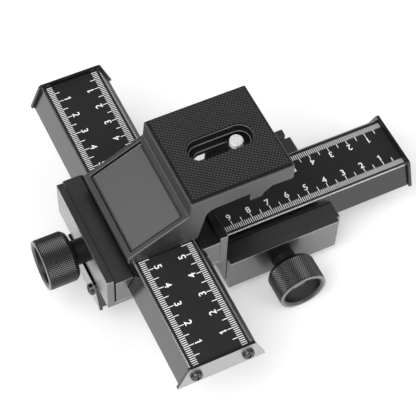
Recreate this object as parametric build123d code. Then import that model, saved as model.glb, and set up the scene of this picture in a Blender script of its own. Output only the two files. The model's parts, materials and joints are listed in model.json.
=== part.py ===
from build123d import *
import os
from math import acos, ceil, cos, hypot, pi, radians, sin, sqrt, tan

# Macro focusing rail for a camera, in millimetres, +Z up.
# A base carriage carries the lower rail, which slides along X. The upper carriage stands on the
# lower rail's left end and carries the upper rail, which slides along Y. A cast bracket on the
# upper rail holds the camera platform over the middle of the base.
# The origin is the centre of the base carriage's underside.

# ---- rails: dovetail bars, heights measured down from the face of the printed scale -----------
RAIL_LENGTH = 159.0
RAIL_TOP_WIDTH = 28.8
RAIL_BOTTOM_WIDTH = 38.4
RAIL_HEIGHT = 10.9
RAIL_EDGE_CHAMFER = 0.4
SCALE_THICKNESS = 0.3
SCALE_WIDTH = 27.0
LOWER_RAIL_SHIFT = -7.65

# ---- end plates and their pan-head screws ----------------------------------------------------
END_PLATE_THICKNESS = 1.5
END_PLATE_RISE = 1.75
END_PLATE_HEIGHT = 13.3
END_PLATE_TOP_WIDTH = 30.6
END_PLATE_BOTTOM_WIDTH = 41.4
END_SCREW_SPACING = 24.0
END_SCREW_DEPTH = 4.7
END_SCREW_LENGTH = 8.0
PAN_HEAD_RADIUS = 2.7
PAN_HEAD_HEIGHT = 1.9
PAN_HEAD_ROUNDING_SHARE = 0.6
PAN_RECESS_ARM_SHARE = 0.6
PAN_RECESS_SLOT_SHARE = 0.14
PAN_RECESS_FLOOR_SHARE = 0.4
SMALL_SCREW_RADIUS = 1.45
SCREW_HOLE_PLAY = 0.05

# ---- rack and pinion -------------------------------------------------------------------------
GEAR_MODULE = 0.5
PRESSURE_ANGLE = 20.0
GEAR_BACKLASH = 0.10
ROOT_DEPTH_IN_MODULES = 1.25
PINION_TEETH = 18
PINION_WIDTH = 5.4
PINION_HUB_RADIUS = 3.1
PINION_HUB_WIDTH = 3.0
PINION_PIN_RADIUS = 0.75
RACK_END_LENGTH = 6.0
RACK_TO_RAIL_END = 7.9
RACK_WIDTH = 6.0
RACK_HEIGHT = 3.6
RACK_SIDE_PLAY = 0.05
RACK_SCREW_RADIUS = 1.0
RACK_SCREW_HEAD_RADIUS = 1.9
RACK_SCREW_LENGTH = 5.0

# ---- carriages -------------------------------------------------------------------------------
CARRIAGE_HEIGHT = 21.7
CARRIAGE_HALF_WIDTH = 28.9
SIDE_PLATE_LENGTH = 56.0
BODY_OVERHANG = 2.8
KNOB_WALL = 3.4
GUIDE_WALL = 3.8
WALL_TOP_DROP = 1.0
JAW_TOP_DROP = 4.0
SLIT_WIDTH = 0.6
SLIT_DEPTH = 18.3
FOOT_THICKNESS = 2.4
FOOT_REACH = 17.0
RAIL_SIDE_PLAY = 0.2
RAIL_FLOOR_PLAY = 0.2
FOOT_SCREW_SPACING = 40.0
FOOT_SCREW_LENGTH = 9.0
UPPER_CARRIAGE_PAST_RAIL_END = 0.5
TRIPOD_THREAD_OFFSET = 15.0
TRIPOD_THREAD_DEPTH = 8.5
LARGE_THREAD_RADIUS = 4.0
SMALL_THREAD_RADIUS = 2.6

# ---- focusing knobs and their axles -----------------------------------------------------------
AXLE_DROP = 14.5
AXLE_RADIUS = 2.0
AXLE_PLAY = 0.03
AXLE_END_GAP = 0.4
BUSH_RADIUS = 4.0
BUSH_FIT_PLAY = 0.02
BUSH_END_GAP = 0.1
COLLAR_RADIUS = 5.7
COLLAR_LENGTH = 4.1
KNOB_GAP = 0.4
KNOB_RADIUS = 11.7
KNOB_LENGTH = 15.4
KNOB_CUP_RADIUS = 9.2
KNOB_CUP_DEPTH = 8.0
KNOB_CUP_FLOOR = 0.4
KNOB_HUB_RADIUS = 6.4
KNOB_SHOULDER_INSET = 1.3
KNOB_SHOULDER_RISE = 0.8
KNOB_BACK_SLOPE_LENGTH = 2.2
KNOB_FRONT_CHAMFER = 0.5
KNOB_GRUB_RADIUS = 1.5
KNOB_GRUB_LENGTH = 6.0
KNOB_GRUB_TO_FRONT = 0.3
GRUB_SOCKET_SHARE = 0.55
POCKET_END_PLAY = 0.2
POCKET_FLOOR_PLAY = 0.4
GROOVE_PLAY = 0.7

# ---- what joins the storeys -------------------------------------------------------------------
RISER_THICKNESS = 3.1
RISER_LENGTH = 44.0
RISER_WIDTH = 28.0
SCALE_TO_NEIGHBOUR = 0.5
STOREY_SCREW_RADIUS = 1.95
STOREY_SCREW_HEAD_RADIUS = 3.7
STOREY_SCREW_RECESS = 0.4
FLAT_RECESS_ARM_SHARE = 0.55
FLAT_RECESS_SLOT_SHARE = 0.12
FLAT_RECESS_DEPTH_SHARE = 0.6
STOREY_SCREW_SIDE = 9.0
RISER_SCREW_ALONG = 13.0
RISER_SCREW_BITE = 7.5
BRACKET_SCREW_ALONG = 15.0
BRACKET_SCREW_BITE = 6.0

# ---- bracket, heights measured up from the upper rail's bar ------------------------------------
BRACKET_WIDTH = 48.0
BRACKET_FOOT_LEFT = 14.0
BRACKET_FOOT_RIGHT = 16.0
NOSE_REACH = 17.0
NOSE_BOTTOM = 1.3
NOSE_TOP = 5.2
SLOPE_TOP_X = 11.5
SLOPE_TOP_Z = 19.8
PLATFORM_LEFT = 12.1
PLATFORM_RIGHT = 61.3
PLATFORM_TOP = 28.4
PLATFORM_THICKNESS = 9.0
LEG_KNEE_X = 17.9
LEG_KNEE_Z = 9.6
LEG_FILLET = 5.0
PLATFORM_CORNER = 1.5
APRON_LEFT = 40.5
APRON_RIGHT = 47.2
APRON_DROP = 5.2
APRON_THICKNESS = 3.0
APRON_FLARE = 3.8
APRON_CORNER = 0.6
APRON_CORNER_RISE_SHARE = 0.4
FRAME_BORDER = 2.4
PLAQUE_RECESS = 1.7
PLAQUE_THICKNESS = 0.8
PLAQUE_PLAY = 1.0

# ---- platform pad, slot and camera screw -------------------------------------------------------
PAD_INSET = 1.0
PAD_THICKNESS = 1.3
PAD_SLOT_MARGIN = 0.2
SLOT_CENTRE_X = 37.3
SLOT_HALF_WIDTH = 3.4
SLOT_LENGTH = 23.6
UPPER_RECESS_HALF_WIDTH = 5.9
UPPER_RECESS_LENGTH = 30.7
UPPER_RECESS_DEPTH = 3.2
LOWER_RECESS_HALF_WIDTH = 4.9
LOWER_RECESS_LENGTH = 28.7
LEDGE_THICKNESS = 2.7
CAMERA_SCREW_RADIUS = 3.175
CAMERA_SCREW_X = 45.3
CAMERA_SCREW_TOP_BELOW_PAD = 3.5
CAMERA_SCREW_CHAMFER = 0.4
WASHER_RADIUS = 4.4
WASHER_THICKNESS = 0.5
CLIP_RADIUS = 4.1
CLIP_THICKNESS = 0.6
CLIP_GROOVE_DEPTH = 0.6
CLIP_PLAY = 0.05
CLIP_MOUTH_SHARE = 0.8
CAMERA_KNOB_RADIUS = 13.6
CAMERA_KNOB_HEIGHT = 9.0
CAMERA_KNOB_CHAMFER = 1.0
CAMERA_KNOB_STOP_GAP = 0.2
CAMERA_SCREW_LIFT = 6.4

# ---- how far a cutting shape runs past the face that it cuts ------------------------------------
CUT_PAST = 1.0

# ---- sizes that follow from those above ---------------------------------------------------------
RAIL_UNDERSIDE = -SCALE_THICKNESS - RAIL_HEIGHT
FLANK_SLOPE = (RAIL_BOTTOM_WIDTH - RAIL_TOP_WIDTH) / 2 / RAIL_HEIGHT
FLOOR_TOP = RAIL_UNDERSIDE - RAIL_FLOOR_PLAY
PITCH_RADIUS = GEAR_MODULE * PINION_TEETH / 2
TIP_RADIUS = PITCH_RADIUS + GEAR_MODULE
ROOT_RADIUS = PITCH_RADIUS - ROOT_DEPTH_IN_MODULES * GEAR_MODULE
BASE_RADIUS = PITCH_RADIUS * cos(radians(PRESSURE_ANGLE))
TOOTH_PITCH = pi * GEAR_MODULE
RACK_PITCH_LINE = -AXLE_DROP + PITCH_RADIUS
RACK_TIP = RACK_PITCH_LINE - GEAR_MODULE
RACK_ROOT = RACK_PITCH_LINE + ROOT_DEPTH_IN_MODULES * GEAR_MODULE
RACK_TOP = RACK_TIP + RACK_HEIGHT
RACK_TOOTHED_LENGTH = RAIL_LENGTH - 2 * (RACK_END_LENGTH + RACK_TO_RAIL_END)
POCKET_FLOOR = -AXLE_DROP - TIP_RADIUS - POCKET_FLOOR_PLAY
CARRIAGE_BOTTOM = -CARRIAGE_HEIGHT
FOOT_TOP = CARRIAGE_BOTTOM + FOOT_THICKNESS
KNOB_PLATE_FACE = CARRIAGE_HALF_WIDTH - KNOB_WALL
GUIDE_PLATE_FACE = CARRIAGE_HALF_WIDTH - GUIDE_WALL
CHANNEL_BOTTOM_HALF = RAIL_BOTTOM_WIDTH / 2 + RAIL_SIDE_PLAY
KNOB_BACK = CARRIAGE_HALF_WIDTH + COLLAR_LENGTH + KNOB_GAP
KNOB_FRONT = KNOB_BACK + KNOB_LENGTH
LOWER_PLANE = CARRIAGE_HEIGHT
UPPER_PLANE = LOWER_PLANE - SCALE_THICKNESS + RISER_THICKNESS + CARRIAGE_HEIGHT
UPPER_CARRIAGE_SHIFT = CARRIAGE_HALF_WIDTH - UPPER_CARRIAGE_PAST_RAIL_END - RAIL_LENGTH / 2
UPPER_RAIL_X = LOWER_RAIL_SHIFT + UPPER_CARRIAGE_SHIFT
PLATFORM_UNDERSIDE = PLATFORM_TOP - PLATFORM_THICKNESS
LEDGE_TOP = PLATFORM_UNDERSIDE + LEDGE_THICKNESS
PAD_TOP = PLATFORM_TOP + PAD_THICKNESS
CAMERA_SCREW_TOP = PAD_TOP - CAMERA_SCREW_TOP_BELOW_PAD
CAMERA_KNOB_TOP = PLATFORM_UNDERSIDE - CAMERA_KNOB_STOP_GAP - CAMERA_SCREW_LIFT

LOWER_CARRIAGE_PLACE = Location((0, 0, LOWER_PLANE))
LOWER_RAIL_PLACE = Location((LOWER_RAIL_SHIFT, 0, LOWER_PLANE))
UPPER_PLACE = Location((UPPER_RAIL_X, 0, UPPER_PLANE), (0, 0, -90))
BRACKET_PLACE = Location((UPPER_RAIL_X, 0, UPPER_PLANE - SCALE_THICKNESS))

parts = {}


def keep(name, shape, place=Location()):
    """Put a piece in its place and note it under its node name."""
    parts[name] = place * shape


def extrude_x(sketch, start, end):
    return extrude(Plane.YZ.offset(start) * sketch, amount=end - start)


def extrude_y(sketch, start, end):
    return extrude(Plane.XZ.offset(-start) * sketch, amount=start - end)


def extrude_z(sketch, start, end):
    return extrude(Plane.XY.offset(start) * sketch, amount=end - start)


def block(x_range, y_range, z_range):
    """A box between two limits on each axis."""
    sizes = [high - low for low, high in (x_range, y_range, z_range)]
    corner = (x_range[0], y_range[0], z_range[0])
    return Pos(*corner) * Box(*sizes, align=(Align.MIN, Align.MIN, Align.MIN))


def outline(*points):
    return make_face(Polyline(*points, close=True))


def disc_y(radius, x, z, start, end):
    """A round bar along Y."""
    return extrude_y(Pos(x, z) * Circle(radius), start, end)


def disc_z(radius, x, y, start, end):
    """A round bar along Z."""
    return extrude_z(Pos(x, y) * Circle(radius), start, end)


def flank_half_width(height):
    """Half the width of a rail's bar at a height below the scale's face."""
    return RAIL_TOP_WIDTH / 2 - (height + SCALE_THICKNESS) * FLANK_SLOPE


def countersunk_screw(radius, head_radius, length):
    """A flat-head screw along +Z, its head's face at height 0, with a cross recess."""
    head_height = head_radius - radius
    head = Pos(0, 0, head_height / 2) * Cone(head_radius, radius, head_height)
    shank = disc_z(radius, 0, 0, head_height, length)
    arm = head_radius * FLAT_RECESS_ARM_SHARE
    slot = head_radius * FLAT_RECESS_SLOT_SHARE
    depth = head_height * FLAT_RECESS_DEPTH_SHARE
    cross = block((-arm, arm), (-slot, slot), (0, depth)) + block((-slot, slot), (-arm, arm), (0, depth))
    return head + shank - cross


def countersunk_hole(radius, head_radius, length, recess):
    """The space round a flat-head screw, with a straight mouth below the head."""
    radius += SCREW_HOLE_PLAY
    head_radius += SCREW_HOLE_PLAY
    cone_height = head_radius - radius
    cone = Pos(0, 0, cone_height / 2) * Cone(head_radius, radius, cone_height)
    mouth = disc_z(head_radius, 0, 0, -recess - CUT_PAST, 0)
    return mouth + cone + disc_z(radius, 0, 0, cone_height / 2, length + SCREW_HOLE_PLAY)


def at_points(shape, points):
    """Copies of a shape at a list of points."""
    return [Pos(*point) * shape for point in points]


# ---- gears ------------------------------------------------------------------------------------
def involute_point(radius):
    """Angle swept by the involute from the base circle out to a radius."""
    rolled = sqrt(max((radius / BASE_RADIUS) ** 2 - 1, 0))
    return rolled - acos(min(BASE_RADIUS / radius, 1))


def pinion_face():
    """Outline of the pinion with one tooth pointing up."""
    half_tooth = (TOOTH_PITCH / 2 - GEAR_BACKLASH) / 2 / PITCH_RADIUS
    half_at_base = half_tooth + involute_point(PITCH_RADIUS)
    radii = [BASE_RADIUS + (TIP_RADIUS - BASE_RADIUS) * step / 3 for step in range(4)]

    def polar(radius, angle):
        return (radius * sin(angle), radius * cos(angle))

    edges = []
    step_angle = 2 * pi / PINION_TEETH
    for tooth in range(PINION_TEETH):
        middle = tooth * step_angle
        spread = [half_at_base - involute_point(radius) for radius in radii]
        rising = [polar(radius, middle - half) for radius, half in zip(radii, spread)]
        falling = [polar(radius, middle + half) for radius, half in zip(radii, spread)][::-1]
        root_start = polar(ROOT_RADIUS, middle + half_at_base)
        root_middle = polar(ROOT_RADIUS, middle + step_angle / 2)
        root_end = polar(ROOT_RADIUS, middle + step_angle - half_at_base)
        next_base = polar(BASE_RADIUS, middle + step_angle - half_at_base)
        edges.append(Spline(*rising))
        edges.append(ThreePointArc(rising[-1], polar(TIP_RADIUS, middle), falling[0]))
        edges.append(Spline(*falling))
        edges.append(Line(falling[-1], root_start))
        edges.append(ThreePointArc(root_start, root_middle, root_end))
        edges.append(Line(root_end, next_base))
    return make_face(edges)


def rack_bar(gap_at):
    """A toothed bar along X whose teeth point down, with a tooth gap centred at gap_at."""
    half_length = RACK_TOOTHED_LENGTH / 2 + RACK_END_LENGTH
    bar = block((-half_length, half_length), (-RACK_WIDTH / 2, RACK_WIDTH / 2), (RACK_TIP, RACK_TOP))
    lean = tan(radians(PRESSURE_ANGLE))
    half_gap = (TOOTH_PITCH / 2 + GEAR_BACKLASH) / 2
    at_tip = half_gap + (RACK_PITCH_LINE - RACK_TIP) * lean
    at_root = half_gap - (RACK_ROOT - RACK_PITCH_LINE) * lean
    limit = RACK_TOOTHED_LENGTH / 2 - at_tip
    first = ceil((-limit - gap_at) / TOOTH_PITCH)
    gaps = []
    number = first
    while gap_at + number * TOOTH_PITCH <= limit:
        middle = gap_at + number * TOOTH_PITCH
        gap = outline(
            (middle - at_tip, RACK_TIP), (middle + at_tip, RACK_TIP),
            (middle + at_root, RACK_ROOT), (middle - at_root, RACK_ROOT),
        )
        gaps.append(extrude_y(gap, -RACK_WIDTH / 2, RACK_WIDTH / 2))
        number += 1
    screws = at_points(rack_screw_space(), rack_screw_points())
    return bar - gaps - screws


def rack_screw_points():
    along = RACK_TOOTHED_LENGTH / 2 + RACK_END_LENGTH / 2
    return [(side * along, 0, RACK_TIP) for side in (-1, 1)]


def rack_screw_space():
    return countersunk_hole(RACK_SCREW_RADIUS, RACK_SCREW_HEAD_RADIUS, RACK_SCREW_LENGTH, 0)


# ---- carriage: local X along its rail, knob at -Y, heights from the scale's face -----------------
def groove_cut():
    """Space in the channel's floor for the axle and the pinion, open to the rail."""
    pocket_half = TIP_RADIUS + GROOVE_PLAY
    pocket_start = -PINION_WIDTH / 2 - POCKET_END_PLAY
    pocket_end = PINION_WIDTH / 2 + PINION_HUB_WIDTH + POCKET_END_PLAY
    above = FLOOR_TOP + CUT_PAST
    pocket = block((-pocket_half, pocket_half), (pocket_start, pocket_end), (POCKET_FLOOR, above))
    groove_half = AXLE_RADIUS + GROOVE_PLAY
    groove_bottom = -AXLE_DROP - groove_half
    reach = CHANNEL_BOTTOM_HALF
    return pocket + block((-groove_half, groove_half), (-reach, reach), (groove_bottom, above))


def carriage_body(start, end, threads):
    """Floor and both dovetail jaws, from start to end along the rail."""
    jaw_top_half = flank_half_width(-JAW_TOP_DROP) + RAIL_SIDE_PLAY
    floor_half = flank_half_width(FLOOR_TOP) + RAIL_SIDE_PLAY
    knob_face = KNOB_PLATE_FACE - SLIT_WIDTH
    section = outline(
        (-FOOT_REACH, CARRIAGE_BOTTOM), (FOOT_REACH, CARRIAGE_BOTTOM), (FOOT_REACH, FOOT_TOP),
        (GUIDE_PLATE_FACE, FOOT_TOP), (GUIDE_PLATE_FACE, -JAW_TOP_DROP), (jaw_top_half, -JAW_TOP_DROP),
        (floor_half, FLOOR_TOP), (-floor_half, FLOOR_TOP), (-jaw_top_half, -JAW_TOP_DROP),
        (-knob_face, -JAW_TOP_DROP), (-knob_face, -SLIT_DEPTH), (-KNOB_PLATE_FACE, -SLIT_DEPTH),
        (-KNOB_PLATE_FACE, FOOT_TOP), (-FOOT_REACH, FOOT_TOP),
    )
    body = extrude_x(section, start, end)
    bore = disc_y(BUSH_RADIUS + BUSH_FIT_PLAY, 0, -AXLE_DROP, -CARRIAGE_HALF_WIDTH, -CHANNEL_BOTTOM_HALF)
    far_bore = disc_y(BUSH_RADIUS + BUSH_FIT_PLAY, 0, -AXLE_DROP, CHANNEL_BOTTOM_HALF, CARRIAGE_HALF_WIDTH)
    return body - groove_cut() - bore - far_bore - foot_screw_spaces() - threads


def side_plate(side, wall):
    """L-shaped side: an upright wall and a foot under the body's edge; side is -1 or 1."""
    inner = CARRIAGE_HALF_WIDTH - wall
    section = outline(
        (side * FOOT_REACH, CARRIAGE_BOTTOM), (side * CARRIAGE_HALF_WIDTH, CARRIAGE_BOTTOM),
        (side * CARRIAGE_HALF_WIDTH, -WALL_TOP_DROP), (side * inner, -WALL_TOP_DROP),
        (side * inner, FOOT_TOP), (side * FOOT_REACH, FOOT_TOP),
    )
    plate = extrude_x(section, -SIDE_PLATE_LENGTH / 2, SIDE_PLATE_LENGTH / 2)
    if side < 0:
        plate -= disc_y(BUSH_RADIUS + BUSH_FIT_PLAY, 0, -AXLE_DROP, -CARRIAGE_HALF_WIDTH, -inner)
    return plate - foot_screw_spaces()


def foot_screw_points():
    across = (FOOT_REACH + GUIDE_PLATE_FACE) / 2
    along = FOOT_SCREW_SPACING / 2
    return [(x, y, CARRIAGE_BOTTOM) for x in (-along, along) for y in (-across, across)]


def foot_screw_spaces():
    hole = countersunk_hole(SMALL_SCREW_RADIUS, PAN_HEAD_RADIUS, FOOT_SCREW_LENGTH, 0)
    return at_points(hole, foot_screw_points())


def axle_sleeve():
    """Bush through the knob side's plate and jaw, with the collar that stands out to the knob."""
    spigot_end = -CHANNEL_BOTTOM_HALF - BUSH_END_GAP
    spigot = disc_y(BUSH_RADIUS, 0, -AXLE_DROP, -CARRIAGE_HALF_WIDTH, spigot_end)
    collar_start = -CARRIAGE_HALF_WIDTH - COLLAR_LENGTH
    collar = disc_y(COLLAR_RADIUS, 0, -AXLE_DROP, collar_start, -CARRIAGE_HALF_WIDTH)
    bore = disc_y(AXLE_RADIUS + AXLE_PLAY, 0, -AXLE_DROP, collar_start, spigot_end)
    return spigot + collar - bore


def axle_bush():
    start = CHANNEL_BOTTOM_HALF + BUSH_END_GAP
    end = GUIDE_PLATE_FACE - BUSH_END_GAP
    bush = disc_y(BUSH_RADIUS, 0, -AXLE_DROP, start, end)
    return bush - disc_y(AXLE_RADIUS + AXLE_PLAY, 0, -AXLE_DROP, start, end)


# ---- focusing knob and what turns with it ---------------------------------------------------------
def knob_bore_depth():
    """How far the axle reaches into the knob's hub."""
    return KNOB_LENGTH - KNOB_CUP_DEPTH - KNOB_CUP_FLOOR


def focus_knob():
    """Knob with a hollow front, its back sloped down to the collar."""
    half_profile = outline(
        (0, KNOB_BACK), (KNOB_HUB_RADIUS, KNOB_BACK),
        (KNOB_RADIUS - KNOB_SHOULDER_INSET, KNOB_BACK + KNOB_SHOULDER_RISE),
        (KNOB_RADIUS, KNOB_BACK + KNOB_BACK_SLOPE_LENGTH), (KNOB_RADIUS, KNOB_FRONT - KNOB_FRONT_CHAMFER),
        (KNOB_RADIUS - KNOB_FRONT_CHAMFER, KNOB_FRONT), (KNOB_CUP_RADIUS, KNOB_FRONT),
        (KNOB_CUP_RADIUS, KNOB_FRONT - KNOB_CUP_DEPTH), (0, KNOB_FRONT - KNOB_CUP_DEPTH),
    )
    turned = Pos(0, 0, -AXLE_DROP) * Rot(0, 0, 180) * revolve(half_profile, Axis.Y)
    axle_end = -KNOB_BACK - knob_bore_depth()
    turned -= disc_y(AXLE_RADIUS + BUSH_FIT_PLAY, 0, -AXLE_DROP, axle_end, -KNOB_BACK)
    grub_hole = KNOB_GRUB_RADIUS + SCREW_HOLE_PLAY
    return turned - disc_z(grub_hole, 0, knob_grub_y(), -AXLE_DROP - KNOB_RADIUS - CUT_PAST, -AXLE_DROP)


def knob_grub_y():
    return -KNOB_BACK - knob_bore_depth() / 2 - KNOB_GRUB_TO_FRONT


def knob_grub_screw():
    top = -AXLE_DROP - AXLE_RADIUS - SCREW_HOLE_PLAY
    y = knob_grub_y()
    screw = disc_z(KNOB_GRUB_RADIUS, 0, y, top - KNOB_GRUB_LENGTH, top)
    socket = Pos(0, y) * RegularPolygon(KNOB_GRUB_RADIUS * GRUB_SOCKET_SHARE, 6)
    return screw - extrude_z(socket, top - KNOB_GRUB_LENGTH, top - KNOB_GRUB_LENGTH / 2)


def focus_axle():
    start = -KNOB_BACK - knob_bore_depth() + BUSH_END_GAP
    end = GUIDE_PLATE_FACE - AXLE_END_GAP
    axle = disc_y(AXLE_RADIUS, 0, -AXLE_DROP, start, end)
    return axle - pinion_pin_bar(PINION_PIN_RADIUS + BUSH_FIT_PLAY)


def pinion_pin_bar(radius):
    y = (PINION_WIDTH + PINION_HUB_WIDTH) / 2
    return disc_z(radius, 0, y, -AXLE_DROP - PINION_HUB_RADIUS, -AXLE_DROP + PINION_HUB_RADIUS)


def focus_pinion():
    """Pinion with a pinned hub on its far side."""
    teeth = extrude_y(pinion_face(), -PINION_WIDTH / 2, PINION_WIDTH / 2)
    hub = extrude_y(Circle(PINION_HUB_RADIUS), PINION_WIDTH / 2, PINION_WIDTH / 2 + PINION_HUB_WIDTH)
    bore_end = PINION_WIDTH / 2 + PINION_HUB_WIDTH
    bore = extrude_y(Circle(AXLE_RADIUS + BUSH_FIT_PLAY), -PINION_WIDTH / 2, bore_end)
    return Pos(0, 0, -AXLE_DROP) * (teeth + hub - bore) - pinion_pin_bar(PINION_PIN_RADIUS + BUSH_FIT_PLAY)


# ---- rail: local X along the bar, heights from the scale's face --------------------------------------
def storey_screw_points(middle, along):
    """Four screws that come up through a rail, round a point along it."""
    height = RAIL_UNDERSIDE + STOREY_SCREW_RECESS
    side = STOREY_SCREW_SIDE
    return [(middle + x, y, height) for x in (-along, along) for y in (-side, side)]


def storey_screw(bite):
    """Flat-head screw that passes the rail's bar and bites into what stands on it."""
    return countersunk_screw(STOREY_SCREW_RADIUS, STOREY_SCREW_HEAD_RADIUS, storey_screw_length(bite))


def storey_screw_length(bite):
    return RAIL_HEIGHT - STOREY_SCREW_RECESS + bite


def storey_screw_space(bite):
    length = storey_screw_length(bite)
    return countersunk_hole(STOREY_SCREW_RADIUS, STOREY_SCREW_HEAD_RADIUS, length, STOREY_SCREW_RECESS)


def rail_bar(screw_spaces):
    """Dovetail bar with a groove for the rack, end-plate threads and the given screw holes."""
    top = -SCALE_THICKNESS
    top_half = RAIL_TOP_WIDTH / 2
    bottom_half = RAIL_BOTTOM_WIDTH / 2
    chamfer = RAIL_EDGE_CHAMFER
    section = outline(
        (-bottom_half, RAIL_UNDERSIDE), (bottom_half, RAIL_UNDERSIDE),
        (top_half + chamfer * FLANK_SLOPE, top - chamfer), (top_half - chamfer, top),
        (chamfer - top_half, top), (-top_half - chamfer * FLANK_SLOPE, top - chamfer),
    )
    half_length = RAIL_LENGTH / 2
    bar = extrude_x(section, -half_length, half_length)
    rack_half = RACK_TOOTHED_LENGTH / 2 + RACK_END_LENGTH + RACK_SIDE_PLAY
    groove_half = RACK_WIDTH / 2 + RACK_SIDE_PLAY
    groove_range = (-groove_half, groove_half)
    groove = block((-rack_half, rack_half), groove_range, (RAIL_UNDERSIDE - CUT_PAST, RACK_TOP))
    thread_radius = SMALL_SCREW_RADIUS + SCREW_HOLE_PLAY
    threads = end_screw_bar(-1, thread_radius) + end_screw_bar(1, thread_radius)
    rack_threads = at_points(rack_screw_space(), rack_screw_points())
    return bar - groove - threads - rack_threads - screw_spaces


def end_screw_bar(side, radius):
    """Shanks of the two screws in one end of a rail."""
    inner = RAIL_LENGTH / 2 + END_PLATE_THICKNESS - END_SCREW_LENGTH
    start, end = sorted((side * inner, side * (RAIL_LENGTH / 2 + END_PLATE_THICKNESS)))
    half = END_SCREW_SPACING / 2
    spots = [Pos(y, -END_SCREW_DEPTH) * Circle(radius) for y in (-half, half)]
    return [extrude_x(spot, start, end) for spot in spots]


def end_plate(side):
    top = END_PLATE_RISE
    bottom = top - END_PLATE_HEIGHT
    section = outline(
        (-END_PLATE_BOTTOM_WIDTH / 2, bottom), (END_PLATE_BOTTOM_WIDTH / 2, bottom),
        (END_PLATE_TOP_WIDTH / 2, top), (-END_PLATE_TOP_WIDTH / 2, top),
    )
    start, end = sorted((side * RAIL_LENGTH / 2, side * (RAIL_LENGTH / 2 + END_PLATE_THICKNESS)))
    return extrude_x(section, start, end) - end_screw_bar(side, SMALL_SCREW_RADIUS + SCREW_HOLE_PLAY)


def end_screws():
    """Four pan-head cross-recess screws, two at each end of a rail."""
    screws = []
    for side in (-1, 1):
        face = RAIL_LENGTH / 2 + END_PLATE_THICKNESS
        shanks = end_screw_bar(side, SMALL_SCREW_RADIUS)
        for shank, y in zip(shanks, (-END_SCREW_SPACING / 2, END_SCREW_SPACING / 2)):
            z = -END_SCREW_DEPTH
            top = face + PAN_HEAD_HEIGHT
            start, end = sorted((side * face, side * top))
            head = extrude_x(Pos(y, z) * Circle(PAN_HEAD_RADIUS), start, end)
            rim = head.edges().filter_by(GeomType.CIRCLE).sort_by(Axis.X)[-1 if side > 0 else 0]
            head = fillet(rim, PAN_HEAD_HEIGHT * PAN_HEAD_ROUNDING_SHARE)
            arm = PAN_HEAD_RADIUS * PAN_RECESS_ARM_SHARE
            slot = PAN_HEAD_RADIUS * PAN_RECESS_SLOT_SHARE
            low, high = sorted((side * (face + PAN_HEAD_HEIGHT * PAN_RECESS_FLOOR_SHARE), side * top))
            upright = block((low, high), (y - slot, y + slot), (z - arm, z + arm))
            level = block((low, high), (y - arm, y + arm), (z - slot, z + slot))
            screws.append(head + shank - upright - level)
    return screws


def scale_strip(start, end):
    """Thin printed strip on a rail's top, from start to end along it."""
    return block((start, end), (-SCALE_WIDTH / 2, SCALE_WIDTH / 2), (-SCALE_THICKNESS, 0))


# ---- bracket: local X to the right of the upper rail's middle, heights from its bar --------------------
def stadium(half_width, length):
    """Round-ended outline in the middle of the camera slot."""
    return Pos(SLOT_CENTRE_X, 0) * SlotOverall(length, half_width * 2)


def slope_frame():
    """Plane of the sloped face: its origin at the face's lower edge, local X up the slope."""
    run = SLOPE_TOP_X + NOSE_REACH
    rise = SLOPE_TOP_Z - NOSE_TOP
    return Plane((-NOSE_REACH, 0, NOSE_TOP), x_dir=(run, 0, rise), z_dir=(-rise, 0, run))


def slope_plate(inset, low, high):
    """A flat plate on the slope, inset from the face's edges, between two heights on it."""
    length = hypot(SLOPE_TOP_X + NOSE_REACH, SLOPE_TOP_Z - NOSE_TOP)
    sketch = Pos(length / 2, 0) * Rectangle(length - 2 * inset, BRACKET_WIDTH - 2 * inset)
    plane = slope_frame()
    return extrude(plane.offset(low) * sketch, amount=high - low)


def bracket_section():
    """Side view of the casting: foot, sloped face, leg and platform."""
    under = PLATFORM_UNDERSIDE
    knee = (LEG_KNEE_X, LEG_KNEE_Z)
    leg_corner_x = LEG_KNEE_X + (under - LEG_KNEE_Z) * (LEG_KNEE_X - BRACKET_FOOT_RIGHT) / LEG_KNEE_Z
    section = outline(
        (-BRACKET_FOOT_LEFT, 0), (BRACKET_FOOT_RIGHT, 0), knee, (leg_corner_x, under),
        (PLATFORM_RIGHT, under), (PLATFORM_RIGHT, PLATFORM_TOP), (PLATFORM_LEFT, PLATFORM_TOP),
        (SLOPE_TOP_X, SLOPE_TOP_Z), (-NOSE_REACH, NOSE_TOP), (-NOSE_REACH, NOSE_BOTTOM),
        (-BRACKET_FOOT_LEFT - NOSE_BOTTOM, NOSE_BOTTOM),
    )
    corner = section.vertices().sort_by_distance((leg_corner_x, under))[0]
    section = fillet(corner, LEG_FILLET)
    outer = section.vertices().sort_by_distance((PLATFORM_RIGHT, under))[0]
    return fillet(outer, PLATFORM_CORNER)


def apron(side):
    """Small tab under one edge of the platform, flared on its right."""
    under = PLATFORM_UNDERSIDE
    bottom = under - APRON_DROP
    corner_top = bottom + APRON_DROP * APRON_CORNER_RISE_SHARE
    sketch = outline(
        (APRON_LEFT, under), (APRON_LEFT, bottom), (APRON_RIGHT - APRON_CORNER, bottom),
        (APRON_RIGHT, corner_top), (APRON_RIGHT + APRON_FLARE, under),
    )
    face = BRACKET_WIDTH / 2
    start, end = sorted((side * (face - APRON_THICKNESS), side * face))
    return extrude_y(sketch, start, end)


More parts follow.
